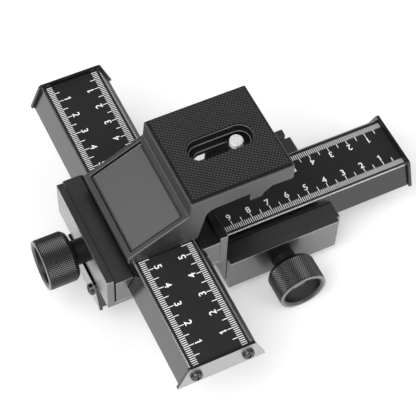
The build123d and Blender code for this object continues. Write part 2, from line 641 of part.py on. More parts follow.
def camera_bracket():
    bracket = extrude_y(bracket_section(), -BRACKET_WIDTH / 2, BRACKET_WIDTH / 2)
    bracket += [apron(-1), apron(1)]
    bracket -= slope_plate(FRAME_BORDER, -PLAQUE_RECESS, CUT_PAST)
    steps = (
        (SLOT_HALF_WIDTH, SLOT_LENGTH, PLATFORM_UNDERSIDE - CUT_PAST),
        (LOWER_RECESS_HALF_WIDTH, LOWER_RECESS_LENGTH, LEDGE_TOP),
        (UPPER_RECESS_HALF_WIDTH, UPPER_RECESS_LENGTH, PLATFORM_TOP - UPPER_RECESS_DEPTH),
    )
    for half_width, length, floor in steps:
        bracket -= extrude_z(stadium(half_width, length), floor, PLATFORM_TOP + CUT_PAST)
    rotated = Rot(0, 0, -90) * Pos(0, 0, SCALE_THICKNESS)
    points = storey_screw_points(0, BRACKET_SCREW_ALONG)
    spaces = at_points(storey_screw_space(BRACKET_SCREW_BITE), points)
    return bracket - [rotated * space for space in spaces]


def plaque():
    low = -PLAQUE_RECESS
    return slope_plate(FRAME_BORDER + PLAQUE_PLAY, low, low + PLAQUE_THICKNESS)


def platform_pad():
    """Flat sheet on the platform, open round the slot."""
    middle = (PLATFORM_LEFT + PLATFORM_RIGHT) / 2
    width = PLATFORM_RIGHT - PLATFORM_LEFT - 2 * PAD_INSET
    opening_half = UPPER_RECESS_HALF_WIDTH + PAD_SLOT_MARGIN
    opening = stadium(opening_half, UPPER_RECESS_LENGTH + 2 * PAD_SLOT_MARGIN)
    sheet = Pos(middle, 0) * Rectangle(width, BRACKET_WIDTH - 2 * PAD_INSET) - opening
    return extrude_z(sheet, PLATFORM_TOP, PAD_TOP)


# ---- camera screw: a stud with a round knob, held in the slot by a washer and a spring clip ------------
def washer():
    ring = disc_z(WASHER_RADIUS, CAMERA_SCREW_X, 0, LEDGE_TOP, LEDGE_TOP + WASHER_THICKNESS)
    hole_radius = CAMERA_SCREW_RADIUS + CLIP_PLAY
    return ring - disc_z(hole_radius, CAMERA_SCREW_X, 0, LEDGE_TOP, LEDGE_TOP + WASHER_THICKNESS)


def clip_bottom():
    return LEDGE_TOP + WASHER_THICKNESS + CLIP_PLAY


def clip():
    """Open ring that sits in the stud's groove, its mouth to +Y."""
    low = clip_bottom()
    high = low + CLIP_THICKNESS
    ring = disc_z(CLIP_RADIUS, CAMERA_SCREW_X, 0, low, high)
    groove_radius = CAMERA_SCREW_RADIUS - CLIP_GROOVE_DEPTH + CLIP_PLAY
    ring -= disc_z(groove_radius, CAMERA_SCREW_X, 0, low, high)
    mouth_half = groove_radius * CLIP_MOUTH_SHARE
    sides = (CAMERA_SCREW_X - mouth_half, CAMERA_SCREW_X + mouth_half)
    return ring - block(sides, (0, CLIP_RADIUS), (low, high))


def camera_screw():
    """Stud from the knob's hub to its chamfered tip, with the clip's groove."""
    bottom = CAMERA_KNOB_TOP - CAMERA_KNOB_HEIGHT / 2
    stud = disc_z(CAMERA_SCREW_RADIUS, CAMERA_SCREW_X, 0, bottom, CAMERA_SCREW_TOP)
    tip = stud.edges().filter_by(GeomType.CIRCLE).sort_by(Axis.Z)[-1]
    stud = chamfer(tip, CAMERA_SCREW_CHAMFER)
    low = clip_bottom() - CLIP_PLAY
    high = low + CLIP_THICKNESS + 2 * CLIP_PLAY
    ring = disc_z(CAMERA_SCREW_RADIUS + CUT_PAST, CAMERA_SCREW_X, 0, low, high)
    ring -= disc_z(CAMERA_SCREW_RADIUS - CLIP_GROOVE_DEPTH, CAMERA_SCREW_X, 0, low, high)
    return stud - ring


def camera_screw_knob():
    low = CAMERA_KNOB_TOP - CAMERA_KNOB_HEIGHT
    knob = disc_z(CAMERA_KNOB_RADIUS, CAMERA_SCREW_X, 0, low, CAMERA_KNOB_TOP)
    knob = chamfer(knob.edges().filter_by(GeomType.CIRCLE), CAMERA_KNOB_CHAMFER)
    hole_bottom = CAMERA_KNOB_TOP - CAMERA_KNOB_HEIGHT / 2
    return knob - disc_z(CAMERA_SCREW_RADIUS + BUSH_FIT_PLAY, CAMERA_SCREW_X, 0, hole_bottom, CAMERA_KNOB_TOP)


# ---- threads in the base, and what each storey is made of ----------------------------------------------
def tripod_threads():
    """Blind holes at the threads' inner radius: a 3/8 inch one and a 1/4 inch one."""
    bottom = CARRIAGE_BOTTOM
    top = bottom + TRIPOD_THREAD_DEPTH
    large = disc_z(LARGE_THREAD_RADIUS, -TRIPOD_THREAD_OFFSET, 0, bottom, top)
    small = disc_z(SMALL_THREAD_RADIUS, TRIPOD_THREAD_OFFSET, 0, bottom, top)
    return [large, small]


def riser_screw_spaces(height):
    """Spaces for the riser's screws, in the frame of what stands a height above the lower scale."""
    space = storey_screw_space(RISER_THICKNESS + RISER_SCREW_BITE)
    points = storey_screw_points(0, RISER_SCREW_ALONG)
    return [Pos(0, 0, -height) * spot for spot in at_points(space, points)]


def make_carriage(prefix, place, start, end, cuts):
    keep(prefix + "_carriage_body", carriage_body(start, end, cuts), place)
    keep(prefix + "_knob_side_plate", side_plate(-1, KNOB_WALL), place)
    keep(prefix + "_guide_side_plate", side_plate(1, GUIDE_WALL), place)
    screw = countersunk_screw(SMALL_SCREW_RADIUS, PAN_HEAD_RADIUS, FOOT_SCREW_LENGTH)
    keep(prefix + "_side_plate_screws", Compound(at_points(screw, foot_screw_points())), place)
    keep(prefix + "_axle_sleeve", axle_sleeve(), place)
    keep(prefix + "_axle_bush", axle_bush(), place)


def make_focus_drive(prefix, place):
    keep(prefix + "_focus_knob", focus_knob(), place)
    keep(prefix + "_knob_grub_screw", knob_grub_screw(), place)
    keep(prefix + "_focus_axle", focus_axle(), place)
    keep(prefix + "_focus_pinion", focus_pinion(), place)
    keep(prefix + "_pinion_pin", pinion_pin_bar(PINION_PIN_RADIUS), place)


def make_rail(prefix, place, gap_at, screw_spaces):
    keep(prefix + "_rail_bar", rail_bar(screw_spaces), place)
    keep(prefix + "_rail_rack", rack_bar(gap_at), place)
    rack_screw = countersunk_screw(RACK_SCREW_RADIUS, RACK_SCREW_HEAD_RADIUS, RACK_SCREW_LENGTH)
    keep(prefix + "_rack_screws", Compound(at_points(rack_screw, rack_screw_points())), place)
    keep(prefix + "_end_plate_screws", Compound(end_screws()), place)


def make_base():
    half = SIDE_PLATE_LENGTH / 2
    make_carriage("base", LOWER_CARRIAGE_PLACE, -half, half + BODY_OVERHANG, tripod_threads())
    make_focus_drive("lower", LOWER_CARRIAGE_PLACE)


def make_lower_rail():
    riser_at = UPPER_CARRIAGE_SHIFT
    spaces = [Pos(riser_at, 0) * space for space in riser_screw_spaces(0)]
    make_rail("lower", LOWER_RAIL_PLACE, -LOWER_RAIL_SHIFT, spaces)
    keep("lower_end_plate_left", end_plate(-1), LOWER_RAIL_PLACE)
    keep("lower_end_plate_right", end_plate(1), LOWER_RAIL_PLACE)
    scale_start = riser_at + RISER_LENGTH / 2 + SCALE_TO_NEIGHBOUR
    keep("lower_scale", scale_strip(scale_start, RAIL_LENGTH / 2), LOWER_RAIL_PLACE)
    plate = block(
        (riser_at - RISER_LENGTH / 2, riser_at + RISER_LENGTH / 2),
        (-RISER_WIDTH / 2, RISER_WIDTH / 2),
        (-SCALE_THICKNESS, -SCALE_THICKNESS + RISER_THICKNESS),
    )
    keep("riser_plate", plate - spaces, LOWER_RAIL_PLACE)
    screw = storey_screw(RISER_THICKNESS + RISER_SCREW_BITE)
    screws = at_points(screw, storey_screw_points(riser_at, RISER_SCREW_ALONG))
    keep("riser_screws", Compound(screws), LOWER_RAIL_PLACE)


def make_upper_carriage():
    half = SIDE_PLATE_LENGTH / 2
    spaces = riser_screw_spaces(UPPER_PLANE - LOWER_PLANE)
    turned = [Rot(0, 0, 90) * space for space in spaces]
    make_carriage("upper", UPPER_PLACE, -half - BODY_OVERHANG, half, turned)
    make_focus_drive("upper", UPPER_PLACE)


def make_upper_rail():
    space = storey_screw_space(BRACKET_SCREW_BITE)
    points = storey_screw_points(0, BRACKET_SCREW_ALONG)
    make_rail("upper", UPPER_PLACE, 0, at_points(space, points))
    keep("upper_end_plate_far", end_plate(-1), UPPER_PLACE)
    keep("upper_end_plate_near", end_plate(1), UPPER_PLACE)
    inner = BRACKET_WIDTH / 2 + SCALE_TO_NEIGHBOUR
    keep("upper_scale_far", scale_strip(-RAIL_LENGTH / 2, -inner), UPPER_PLACE)
    keep("upper_scale_near", scale_strip(inner, RAIL_LENGTH / 2), UPPER_PLACE)
    screws = at_points(storey_screw(BRACKET_SCREW_BITE), points)
    keep("bracket_screws", Compound(screws), UPPER_PLACE)


def make_platform():
    keep("camera_bracket", camera_bracket(), BRACKET_PLACE)
    keep("plaque", plaque(), BRACKET_PLACE)
    keep("platform_pad", platform_pad(), BRACKET_PLACE)
    keep("camera_screw_washer", washer(), BRACKET_PLACE)
    keep("camera_screw_clip", clip(), BRACKET_PLACE)
    keep("camera_screw", camera_screw(), BRACKET_PLACE)
    keep("camera_screw_knob", camera_screw_knob(), BRACKET_PLACE)


make_base()
make_lower_rail()
make_upper_carriage()
make_upper_rail()
make_platform()

os.makedirs("parts", exist_ok=True)
for name, shape in parts.items():
    export_step(shape, "parts/" + name + ".step")
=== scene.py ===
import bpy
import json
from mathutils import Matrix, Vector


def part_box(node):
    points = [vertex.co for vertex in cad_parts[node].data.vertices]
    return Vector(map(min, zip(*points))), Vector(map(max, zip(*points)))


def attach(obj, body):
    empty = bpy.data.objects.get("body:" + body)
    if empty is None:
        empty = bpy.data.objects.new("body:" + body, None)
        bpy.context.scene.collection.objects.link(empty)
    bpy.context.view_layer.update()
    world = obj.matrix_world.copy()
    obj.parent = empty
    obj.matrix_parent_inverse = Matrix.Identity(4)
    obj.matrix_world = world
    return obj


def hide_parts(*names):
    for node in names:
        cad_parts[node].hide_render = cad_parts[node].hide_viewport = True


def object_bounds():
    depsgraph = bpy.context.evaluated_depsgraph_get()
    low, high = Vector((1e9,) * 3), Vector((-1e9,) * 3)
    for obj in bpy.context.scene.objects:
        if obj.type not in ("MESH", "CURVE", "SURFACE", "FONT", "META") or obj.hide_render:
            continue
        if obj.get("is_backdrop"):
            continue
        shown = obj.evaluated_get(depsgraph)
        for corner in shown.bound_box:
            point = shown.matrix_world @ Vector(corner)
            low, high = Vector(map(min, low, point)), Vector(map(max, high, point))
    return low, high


bl_info = {
    "name": "Macro focusing rail finish",
    "version": (1, 0, 0),
    "blender": (4, 5, 0),
    "location": "3D View > Sidebar > Focusing Rail",
    "description": "Finishes a crossed macro focusing rail on its packed frame and sets up a plain studio",
    "category": "Object",
}

import json
from math import atan2, ceil, cos, hypot, pi, radians, sin, tau

import bmesh
import bpy
from bpy.props import FloatProperty, FloatVectorProperty, PointerProperty
from mathutils import Euler, Matrix, Vector

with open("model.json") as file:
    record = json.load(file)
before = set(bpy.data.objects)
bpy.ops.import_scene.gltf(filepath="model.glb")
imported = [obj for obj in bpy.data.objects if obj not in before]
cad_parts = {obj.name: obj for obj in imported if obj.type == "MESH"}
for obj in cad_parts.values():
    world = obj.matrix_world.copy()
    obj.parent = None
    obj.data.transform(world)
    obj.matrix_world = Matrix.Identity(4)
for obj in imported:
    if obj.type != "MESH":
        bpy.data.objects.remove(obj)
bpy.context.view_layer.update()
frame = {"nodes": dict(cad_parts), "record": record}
NODES = frame["nodes"]
MATERIALS = {}  # filled by the first step
MM = 0.001  # all lengths are in metres
MERGED = 1e-7  # points of a new shape that are nearer than this are one
NEAR = 1e-6  # the same for a CAD node's points, and how near a point is to a surface that it is on
BROKEN_ANGLE = radians(25)  # edges that turn by more than this are broken or rounded
SHARP_ANGLE = radians(40)  # edges that turn by less than this look smooth on a bevelled piece,
KNURLED_ANGLE = radians(28)  # this on a knurled one,
CUT_ANGLE = radians(30)  # and this on the stud and the pad
FACING = 0.3  # a face whose normal has more than this along a direction faces that way
COLOUR_A, COLOUR_B, COLOUR_OUT = 6, 7, 2  # sockets of a Mix node for colours
VALUE_A, VALUE_B = 2, 3  # and of one for values


def length(name, description, default, soft_max=0.05):
    return FloatProperty(name=name, description=description, default=default, min=0.0,
                         soft_max=soft_max, precision=5, unit="LENGTH", subtype="DISTANCE")


def colour(name, description, default):
    return FloatVectorProperty(name=name, description=description, default=default, size=3,
                               min=0.0, max=1.0, subtype="COLOR")


def factor(name, description, default):
    return FloatProperty(name=name, description=description, default=default, min=0.0, max=1.0,
                         subtype="FACTOR")


def power(name, description, default):
    return FloatProperty(name=name, description=description, default=default, min=0.0, unit="POWER")


# ---- settings --------------------------------------------
class RailEdgeSettings(bpy.types.PropertyGroup):
    casting_edge: length("Casting edge", "Width of the rounding on the bracket's edges", 0.55 * MM)
    machined_edge: length("Machined edge", "Width of the broken edges on the blocks and rails", 0.28 * MM)
    sheet_edge: length("Sheet edge", "Width of the broken edges on the end plates", 0.2 * MM)
    plate_corner: length("Plate corner", "Radius of the end plates' corners", 0.9 * MM)
    slot_edge: length("Slot edge", "Width of the broken edges round the camera slot", 0.3 * MM)
    shortest_edge: length("Shortest edge", "Edges shorter than this stay sharp", 1.2 * MM)


class RailKnobSettings(bpy.types.PropertyGroup):
    knurl_pitch: length("Knurl pitch", "Distance between the knurl's points round the knob", 1.22 * MM)
    knurl_depth: length("Knurl depth", "Height of the knurl's points", 0.35 * MM)
    cup_depth: length("Cup depth", "Depth of the hollow in a focusing knob's front", 8.0 * MM)
    cup_radius: length("Cup radius", "Radius of the hollow in a focusing knob's front", 9.2 * MM)
    cup_round: length("Cup rounding", "Radius between the hollow's wall and floor", 0.8 * MM)
    hub_radius: length("Hub radius", "Radius of the flat on a focusing knob's back", 6.4 * MM)
    shoulder_inset: length("Shoulder inset", "Drop from the knurl to the sloped back's shoulder", 1.3 * MM)
    shoulder_rise: length("Shoulder rise", "Height of the sloped back's shoulder", 0.8 * MM)
    back_length: length("Back length", "Length of the sloped back", 2.2 * MM)
    lip: length("Lip", "Width of the small broken edges on a knob", 0.3 * MM)
    cup_chamfer: length("Cup chamfer", "Width of the chamfer between the ring and the hollow", 0.9 * MM)
    chamfer_depth: length("Chamfer depth", "Depth of that chamfer", 0.9 * MM)
    plain_front: length("Plain front", "Width of the plain band before the front ring", 0.7 * MM)


class RailStudSettings(bpy.types.PropertyGroup):
    thread_pitch: length("Thread pitch", "Pitch of the camera stud's thread", 1.27 * MM)
    thread_depth: length("Thread depth", "Depth of the camera stud's thread", 0.45 * MM)


class RailPadSettings(bpy.types.PropertyGroup):
    rib_pitch: length("Rib pitch", "Distance between the rubber pad's ribs", 1.3 * MM)
    rib_depth: length("Rib depth", "Depth of the grooves between the ribs", 0.35 * MM)
    rib_share: factor("Rib share", "Share of the pitch that a rib fills", 0.55)
    stud_share: factor("Stud share", "Share of its length that a rib keeps between cross grooves", 0.7)
    border: length("Border", "Width of the smooth border round the ribs", 0.6 * MM)
    rib_angle: FloatProperty(name="Rib angle", description="Direction of the ribs from the X axis",
                             default=radians(-38), subtype="ANGLE")


class RailScaleSettings(bpy.types.PropertyGroup):
    row_reach: length("Row reach", "Distance from the rail's middle to a row's outer end", 12.6 * MM)
    lower_shift: length("Lower print shift", "How far the lower scale is printed towards its knob", 0.5 * MM)
    short_tick: length("Short tick", "Length of a millimetre tick", 2.6 * MM)
    long_tick: length("Long tick", "Length of the ticks at half and whole centimetres", 4.9 * MM)
    tick_width: length("Tick width", "Width of a printed tick", 0.34 * MM)
    numeral_height: length("Numeral height", "Height of the printed numerals", 3.2 * MM)
    numeral_gap: length("Numeral gap", "Distance from a long tick to its numeral", 0.45 * MM)
    flag_length: length("Flag length", "Length of the slanting stroke of the numeral 1", 1.15 * MM)
    numeral_weight: factor("Numeral weight", "How far the numerals' strokes are thickened", 0.012)
    print_height: length("Print height", "Thickness of the print", 0.03 * MM)
    zero_reach: length("Zero reach", "Distance from the rail's middle to a scale's zero", 79.7 * MM, 0.2)


class RailFinishSettings(bpy.types.PropertyGroup):
    body: colour("Anodised block", "Mirror tone of the blocks' black anodising", (0.13, 0.13, 0.132))
    rail: colour("Anodised rail", "Mirror tone of the rails' black anodising", (0.1, 0.1, 0.102))
    # painted reflection: the end plates' outer faces are made much lighter than their edges and backs
    plate: colour("Bright plate", "Mirror tone of the end plates' outer faces", (0.34, 0.34, 0.343))
    # painted shade: the lower rail's anodising is made darker than the upper rail's
    lower_rail: colour("Lower rail", "Mirror tone of the lower rail's anodising", (0.045, 0.045, 0.0455))
    # painted shade: the end plates' edges and backs are a darker copy of the same finish
    plate_back: colour("Plate back", "Mirror tone of the end plates' edges and backs", (0.04, 0.04, 0.04))
    # painted highlight: the broken edges that look up are made much lighter than the anodising
    bevel: colour("Broken edge", "Mirror tone of the blocks' and rails' broken edges", (0.5, 0.5, 0.505))
    knurl: colour("Knurl", "Mirror tone of the knurled knobs", (0.22, 0.22, 0.222))
    ring: colour("Turned ring", "Mirror tone of the knobs' turned rings", (0.26, 0.26, 0.26))
    # painted shade: the wall inside the hollow is darker than the knurl
    cup: colour("Turned hollow", "Mirror tone of the wall inside the knobs", (0.14, 0.14, 0.14))
    # painted highlight: the hollow's floor is light grey
    cup_floor: colour("Hollow's floor", "Colour of the turned floor inside the knobs", (0.8, 0.8, 0.8))
    paint: colour("Bracket paint", "Colour of the painted casting", (0.024, 0.024, 0.024))
    # the collars are matt black; on the slot and recess walls, the pad's border and the rails' far flanks
    # this black is painted shade
    matt: colour("Matt black", "Colour of the collars, the slot and recess walls, the pad's border and "
                 "the rails' far flanks", (0.008, 0.008, 0.008))
    # real wear on the casting's rounded edges, and a painted highlight on the camera slot's slanting rims
    worn: colour("Worn edge", "Colour where edges are worn", (0.32, 0.32, 0.32))
    strip: colour("Scale strip", "Colour of the scale's black ground", (0.015, 0.015, 0.015))
    ink: colour("Scale print", "Colour of the printed ticks and numerals", (1.0, 1.0, 1.0))
    plaque: colour("Plaque", "Colour of the plain plaque", (0.098, 0.098, 0.098))
    rubber: colour("Pad rubber", "Colour of the ribbed pad", (0.05, 0.05, 0.05))
    steel: colour("Bright steel", "Colour of the camera stud", (0.92, 0.92, 0.91))
    dark_steel: colour("Dark steel", "Colour of the dark screws and axles", (0.1, 0.1, 0.1))
    brass: colour("Bush brass", "Colour of the bushes", (0.55, 0.38, 0.16))


class RailStudioSettings(bpy.types.PropertyGroup):
    floor_size: length("Floor size", "Side of the square floor", 6.0, 10.0)
    floor_colour: colour("Floor colour", "Colour of the pale floor", (0.82, 0.82, 0.82))
    floor_glow: factor("Floor glow", "White added to the floor where it is seen or mirrored", 0.27)
    key_power: power("Key power", "Power of the large soft lamp", 7.5)
    fill_power: power("Fill power", "Power of the second soft lamp", 3.3)
    sky: factor("Sky", "Strength of the even light from all round", 0.48)
    mirrored_top: factor("Mirrored top", "Brightness of the sky overhead in reflections", 0.2)
    mirrored_edge: factor("Mirrored horizon", "Brightness of the horizon in reflections", 0.9)
    focal_length: FloatProperty(name="Focal length", description="Camera focal length in millimetres",
                                default=124.119, min=1.0)


SETTINGS = (
    ("rail_edges", RailEdgeSettings), ("rail_knobs", RailKnobSettings), ("rail_stud", RailStudSettings),
    ("rail_pad", RailPadSettings), ("rail_scales", RailScaleSettings),
    ("rail_finishes", RailFinishSettings), ("rail_studio", RailStudioSettings),
)


# ---- mesh helpers ----------------------------------------
def link(name, data):
    """A new object in the scene that holds the given mesh or curve."""
    piece = bpy.data.objects.new(name, data)
    bpy.context.collection.objects.link(piece)
    return piece


def finish_mesh(bm, name, smooth_angle=radians(35)):
    """Turn a bmesh into an object whose edges are smooth below an angle."""
    bm.normal_update()
    for face in bm.faces:
        face.smooth = True
    for edge in bm.edges:
        edge.smooth = edge.is_manifold and edge.calc_face_angle(0.0) < smooth_angle
    mesh = bpy.data.meshes.new(name)
    bm.to_mesh(mesh)
    bm.free()
    return link(name, mesh)


def add_piece(piece, body, slot, replaced=(), finishes=()):
    """Give a new piece its finishes, the body that carries it and the nodes that it stands for."""
    for finish in finishes or [slot]:
        piece.data.materials.append(MATERIALS[finish])
    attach(piece, body)
    if replaced:
        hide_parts(*replaced)


def turned(profile, steps):
    """Full turn round Z of (radius, height) points that start and end on the axis."""
    bm = bmesh.new()
    verts = [bm.verts.new((radius, 0, height)) for radius, height in profile]
    edges = [bm.edges.new(pair) for pair in zip(verts, verts[1:])]
    bmesh.ops.spin(bm, geom=verts + edges, cent=(0, 0, 0), axis=(0, 0, 1), angle=tau, steps=steps,
                   use_merge=True)
    bmesh.ops.remove_doubles(bm, verts=bm.verts, dist=MERGED)
    bmesh.ops.recalc_face_normals(bm, faces=bm.faces)
    return bm


def arc(centre, radius, start, end, steps):
    """Points on an arc in a turned profile, angles in degrees from outward to along the axis."""
    points = []
    for step in range(steps + 1):
        angle = radians(start + (end - start) * step / steps)
        points.append((centre[0] + radius * cos(angle), centre[1] + radius * sin(angle)))
    return points


def merged_copy(node):
    """A bmesh of a CAD node with its loose triangles joined and its flat faces made whole."""
    bm = bmesh.new()
    bm.from_mesh(NODES[node].data)
    bmesh.ops.remove_doubles(bm, verts=bm.verts, dist=NEAR)
    bmesh.ops.dissolve_limit(bm, angle_limit=radians(0.5), verts=bm.verts, edges=bm.edges)
    return bm


def cut(bm, place, across, clear=False):
    """Divide a shape along a plane, and with clear take away what lies beyond it."""
    bmesh.ops.bisect_plane(bm, geom=bm.verts[:] + bm.edges[:] + bm.faces[:], dist=MERGED,
                           plane_co=place, plane_no=across, clear_outer=clear)


def sharp_edges(bm, angle, shortest=0.0, inward=False):
    """The longer edges that turn outwards, or with inward either way, by more than an angle."""
    found = []
    for edge in bm.edges:
        turn = edge.calc_face_angle_signed(0.0) if edge.is_manifold else 0.0
        if (abs(turn) if inward else turn) > angle and edge.calc_length() > shortest:
            found.append(edge)
    return found


def bevel_edges(bm, edges, width, segments, bright=None):
    """Bevel edges; the new faces that pass a test get the piece's second finish."""
    made = bmesh.ops.bevel(bm, geom=edges, offset=width, offset_type="OFFSET", segments=segments,
                           profile=0.5, affect="EDGES", clamp_overlap=False, material=-1,
                           miter_outer="SHARP")
    bm.normal_update()
    for face in made["faces"]:
        if bright and bright(face.calc_center_median(), face.normal):
            face.material_index = 1
    bmesh.ops.remove_doubles(bm, verts=bm.verts, dist=MERGED)


def bevelled_piece(bm, node):
    """The finished copy of a CAD node, with its flat faces kept flat beside their bevels."""
    piece = finish_mesh(bm, node + "_finished", SHARP_ANGLE)
    weights = piece.modifiers.new("Flat faces", "WEIGHTED_NORMAL")
    weights.keep_sharp = True
    weights.weight = 100
    return piece


def softened(bm, node, width, shortest, bright=None):
    """Break the longer outward edges of a CAD node's copy by a small bevel."""
    bevel_edges(bm, sharp_edges(bm, BROKEN_ANGLE, shortest), width, 2, bright)
    return bevelled_piece(bm, node)


# ---- shader node groups ----------------------------------
def new_group(name, inputs, outputs):
    """A shader node group whose named sockets hold values, and its input and output nodes."""
    group = bpy.data.node_groups.new(name, "ShaderNodeTree")
    for label, default in inputs.items():
        socket = group.interface.new_socket(name=label, in_out="INPUT", socket_type="NodeSocketFloat")
        socket.default_value = default
    for label in outputs:
        group.interface.new_socket(name=label, in_out="OUTPUT", socket_type="NodeSocketFloat")
    return group, group.nodes.new("NodeGroupInput"), group.nodes.new("NodeGroupOutput")


def add_node(tree, kind, values=(), links=(), **attributes):
    """A node with attributes, socket values and links from other sockets, by input name or index."""
    node = tree.nodes.new(kind)
    for name, value in attributes.items():
        setattr(node, name, value)
    for name, value in dict(values).items():
        node.inputs[name].default_value = value
    for name, socket in dict(links).items():
        tree.links.new(socket, node.inputs[name])
    return node


def ranged(tree, value, start, end, first, last=1.0):
    """A value between start and end as one between first and last."""
    node = add_node(tree, "ShaderNodeMapRange", {"From Min": start, "From Max": end,
                    "To Min": first, "To Max": last}, {"Value": value})
    return node.outputs["Result"]


def edge_wear_group():
    """Mask that is 1 on rounded and broken edges and 0 on flat faces."""
    inputs = {"Radius": 0.0006, "Sharpness": 8.0, "Patchiness": 400.0}
    group, given, out = new_group("edge_wear", inputs, ["Mask"])
    bevel = add_node(group, "ShaderNodeBevel", links={"Radius": given.outputs["Radius"]}, samples=6)
    geometry = add_node(group, "ShaderNodeNewGeometry")
    align = add_node(group, "ShaderNodeVectorMath", operation="DOT_PRODUCT",
                     links={0: bevel.outputs["Normal"], 1: geometry.outputs["True Normal"]})
    turn = add_node(group, "ShaderNodeMath", {0: 1.0}, {1: align.outputs["Value"]}, operation="SUBTRACT")
    scaled = add_node(group, "ShaderNodeMath", links={0: turn.outputs[0], 1: given.outputs["Sharpness"]},
                      operation="MULTIPLY", use_clamp=True)
    place = add_node(group, "ShaderNodeTexCoord")
    noise = add_node(group, "ShaderNodeTexNoise", {"Detail": 3.0},
                     {"Vector": place.outputs["Object"], "Scale": given.outputs["Patchiness"]})
    patch = ranged(group, noise.outputs["Fac"], 0.3, 0.6, 0.45)
    mask = add_node(group, "ShaderNodeMath", links={0: scaled.outputs[0], 1: patch},
                    operation="MULTIPLY", use_clamp=True)
    group.links.new(mask.outputs[0], out.inputs["Mask"])


def grain_group():
    """Fine even grain, as blasted or moulded surfaces have, and slow cloudy variation."""
    inputs = {"Grain Scale": 2500.0, "Cloud Scale": 60.0}
    group, given, out = new_group("grain", inputs, ["Grain", "Cloud"])
    place = add_node(group, "ShaderNodeTexCoord")
    grain = add_node(group, "ShaderNodeTexNoise", {"Detail": 2.0, "Roughness": 0.6},
                     {"Vector": place.outputs["Object"], "Scale": given.outputs["Grain Scale"]})
    cloud = add_node(group, "ShaderNodeTexNoise", {"Detail": 4.0, "Roughness": 0.55},
                     {"Vector": place.outputs["Object"], "Scale": given.outputs["Cloud Scale"]})
    group.links.new(grain.outputs["Fac"], out.inputs["Grain"])
    group.links.new(cloud.outputs["Fac"], out.inputs["Cloud"])


def use_group(tree, name, **values):
    """Place a shared group in a material, with values for its inputs."""
    node = tree.nodes.new("ShaderNodeGroup")
    node.node_tree = bpy.data.node_groups[name]
    for label, value in values.items():
        node.inputs[label.replace("_", " ")].default_value = value
    return node


# ---- materials -------------------------------------------
def shifted(base, amount):
    """A slightly lighter or darker version of a colour."""
    return tuple(min(1.0, part * (1 + amount)) for part in base) + (1.0,)


def clouded(tree, base, amount, cloud):
    """A colour that drifts between a darker and a lighter version of itself."""
    ends = {COLOUR_A: shifted(base, -amount), COLOUR_B: shifted(base, amount)}
    node = add_node(tree, "ShaderNodeMix", ends, {0: cloud}, data_type="RGBA")
    return node.outputs[COLOUR_OUT]


def dimmed(tree, shade, share):
    """A colour times a value."""
    node = add_node(tree, "ShaderNodeVectorMath", operation="SCALE", links={0: shade, "Scale": share})
    return node.outputs[0]


def surface(name, base, roughness, spread=0.06, variation=0.12, metallic=0.0, ior=1.5, bump=0.15,
            grain=2500.0, cloud=60.0, worn=None, wear=0.0, wear_radius=0.0, bump_distance=0.00002,
            coat=0.0, coat_roughness=0.25, groove_shade=None):
    """Principled material whose colour, roughness and relief vary by the shared groups.

    valley is the share of its colour that is left where the surface's relief is lowest; this darkening of the
    grooves is painted shade.
    """
    material = bpy.data.materials.new(name)
    material.use_nodes = True
    tree = material.node_tree
    tree.nodes.clear()
    output = tree.nodes.new("ShaderNodeOutputMaterial")
    shader = add_node(tree, "ShaderNodeBsdfPrincipled", {"Metallic": metallic, "IOR": ior,
                      "Coat Weight": coat, "Coat Roughness": coat_roughness})
    tree.links.new(shader.outputs["BSDF"], output.inputs["Surface"])
    texture = use_group(tree, "grain", Grain_Scale=grain, Cloud_Scale=cloud)
    grains, clouds = texture.outputs["Grain"], texture.outputs["Cloud"]
    fleck = ranged(tree, grains, 0.35, 0.65, 1 - variation, 1 + variation)
    result = dimmed(tree, clouded(tree, base, variation, clouds), fleck)
    # painted shade: the colour is darkened where the relief attribute is low, in the grooves
    if groove_shade is not None:
        height = add_node(tree, "ShaderNodeAttribute", attribute_name="relief")
        result = dimmed(tree, result, ranged(tree, height.outputs["Fac"], 0.15, 0.85, groove_shade))
    if worn:
        mask = use_group(tree, "edge_wear", Radius=wear_radius)
        amount = add_node(tree, "ShaderNodeMath", {1: wear}, {0: mask.outputs["Mask"]}, operation="MULTIPLY")
        edge = add_node(tree, "ShaderNodeMix", {COLOUR_B: worn + (1.0,)},
                        {0: amount.outputs[0], COLOUR_A: result}, data_type="RGBA")
        result = edge.outputs[COLOUR_OUT]
    tree.links.new(result, shader.inputs["Base Color"])
    rough = ranged(tree, clouds, 0.3, 0.7, roughness - spread, roughness + spread)
    tree.links.new(rough, shader.inputs["Roughness"])
    relief = add_node(tree, "ShaderNodeBump", {"Strength": bump, "Distance": bump_distance},
                      {"Height": grains})
    tree.links.new(relief.outputs["Normal"], shader.inputs["Normal"])
    return material


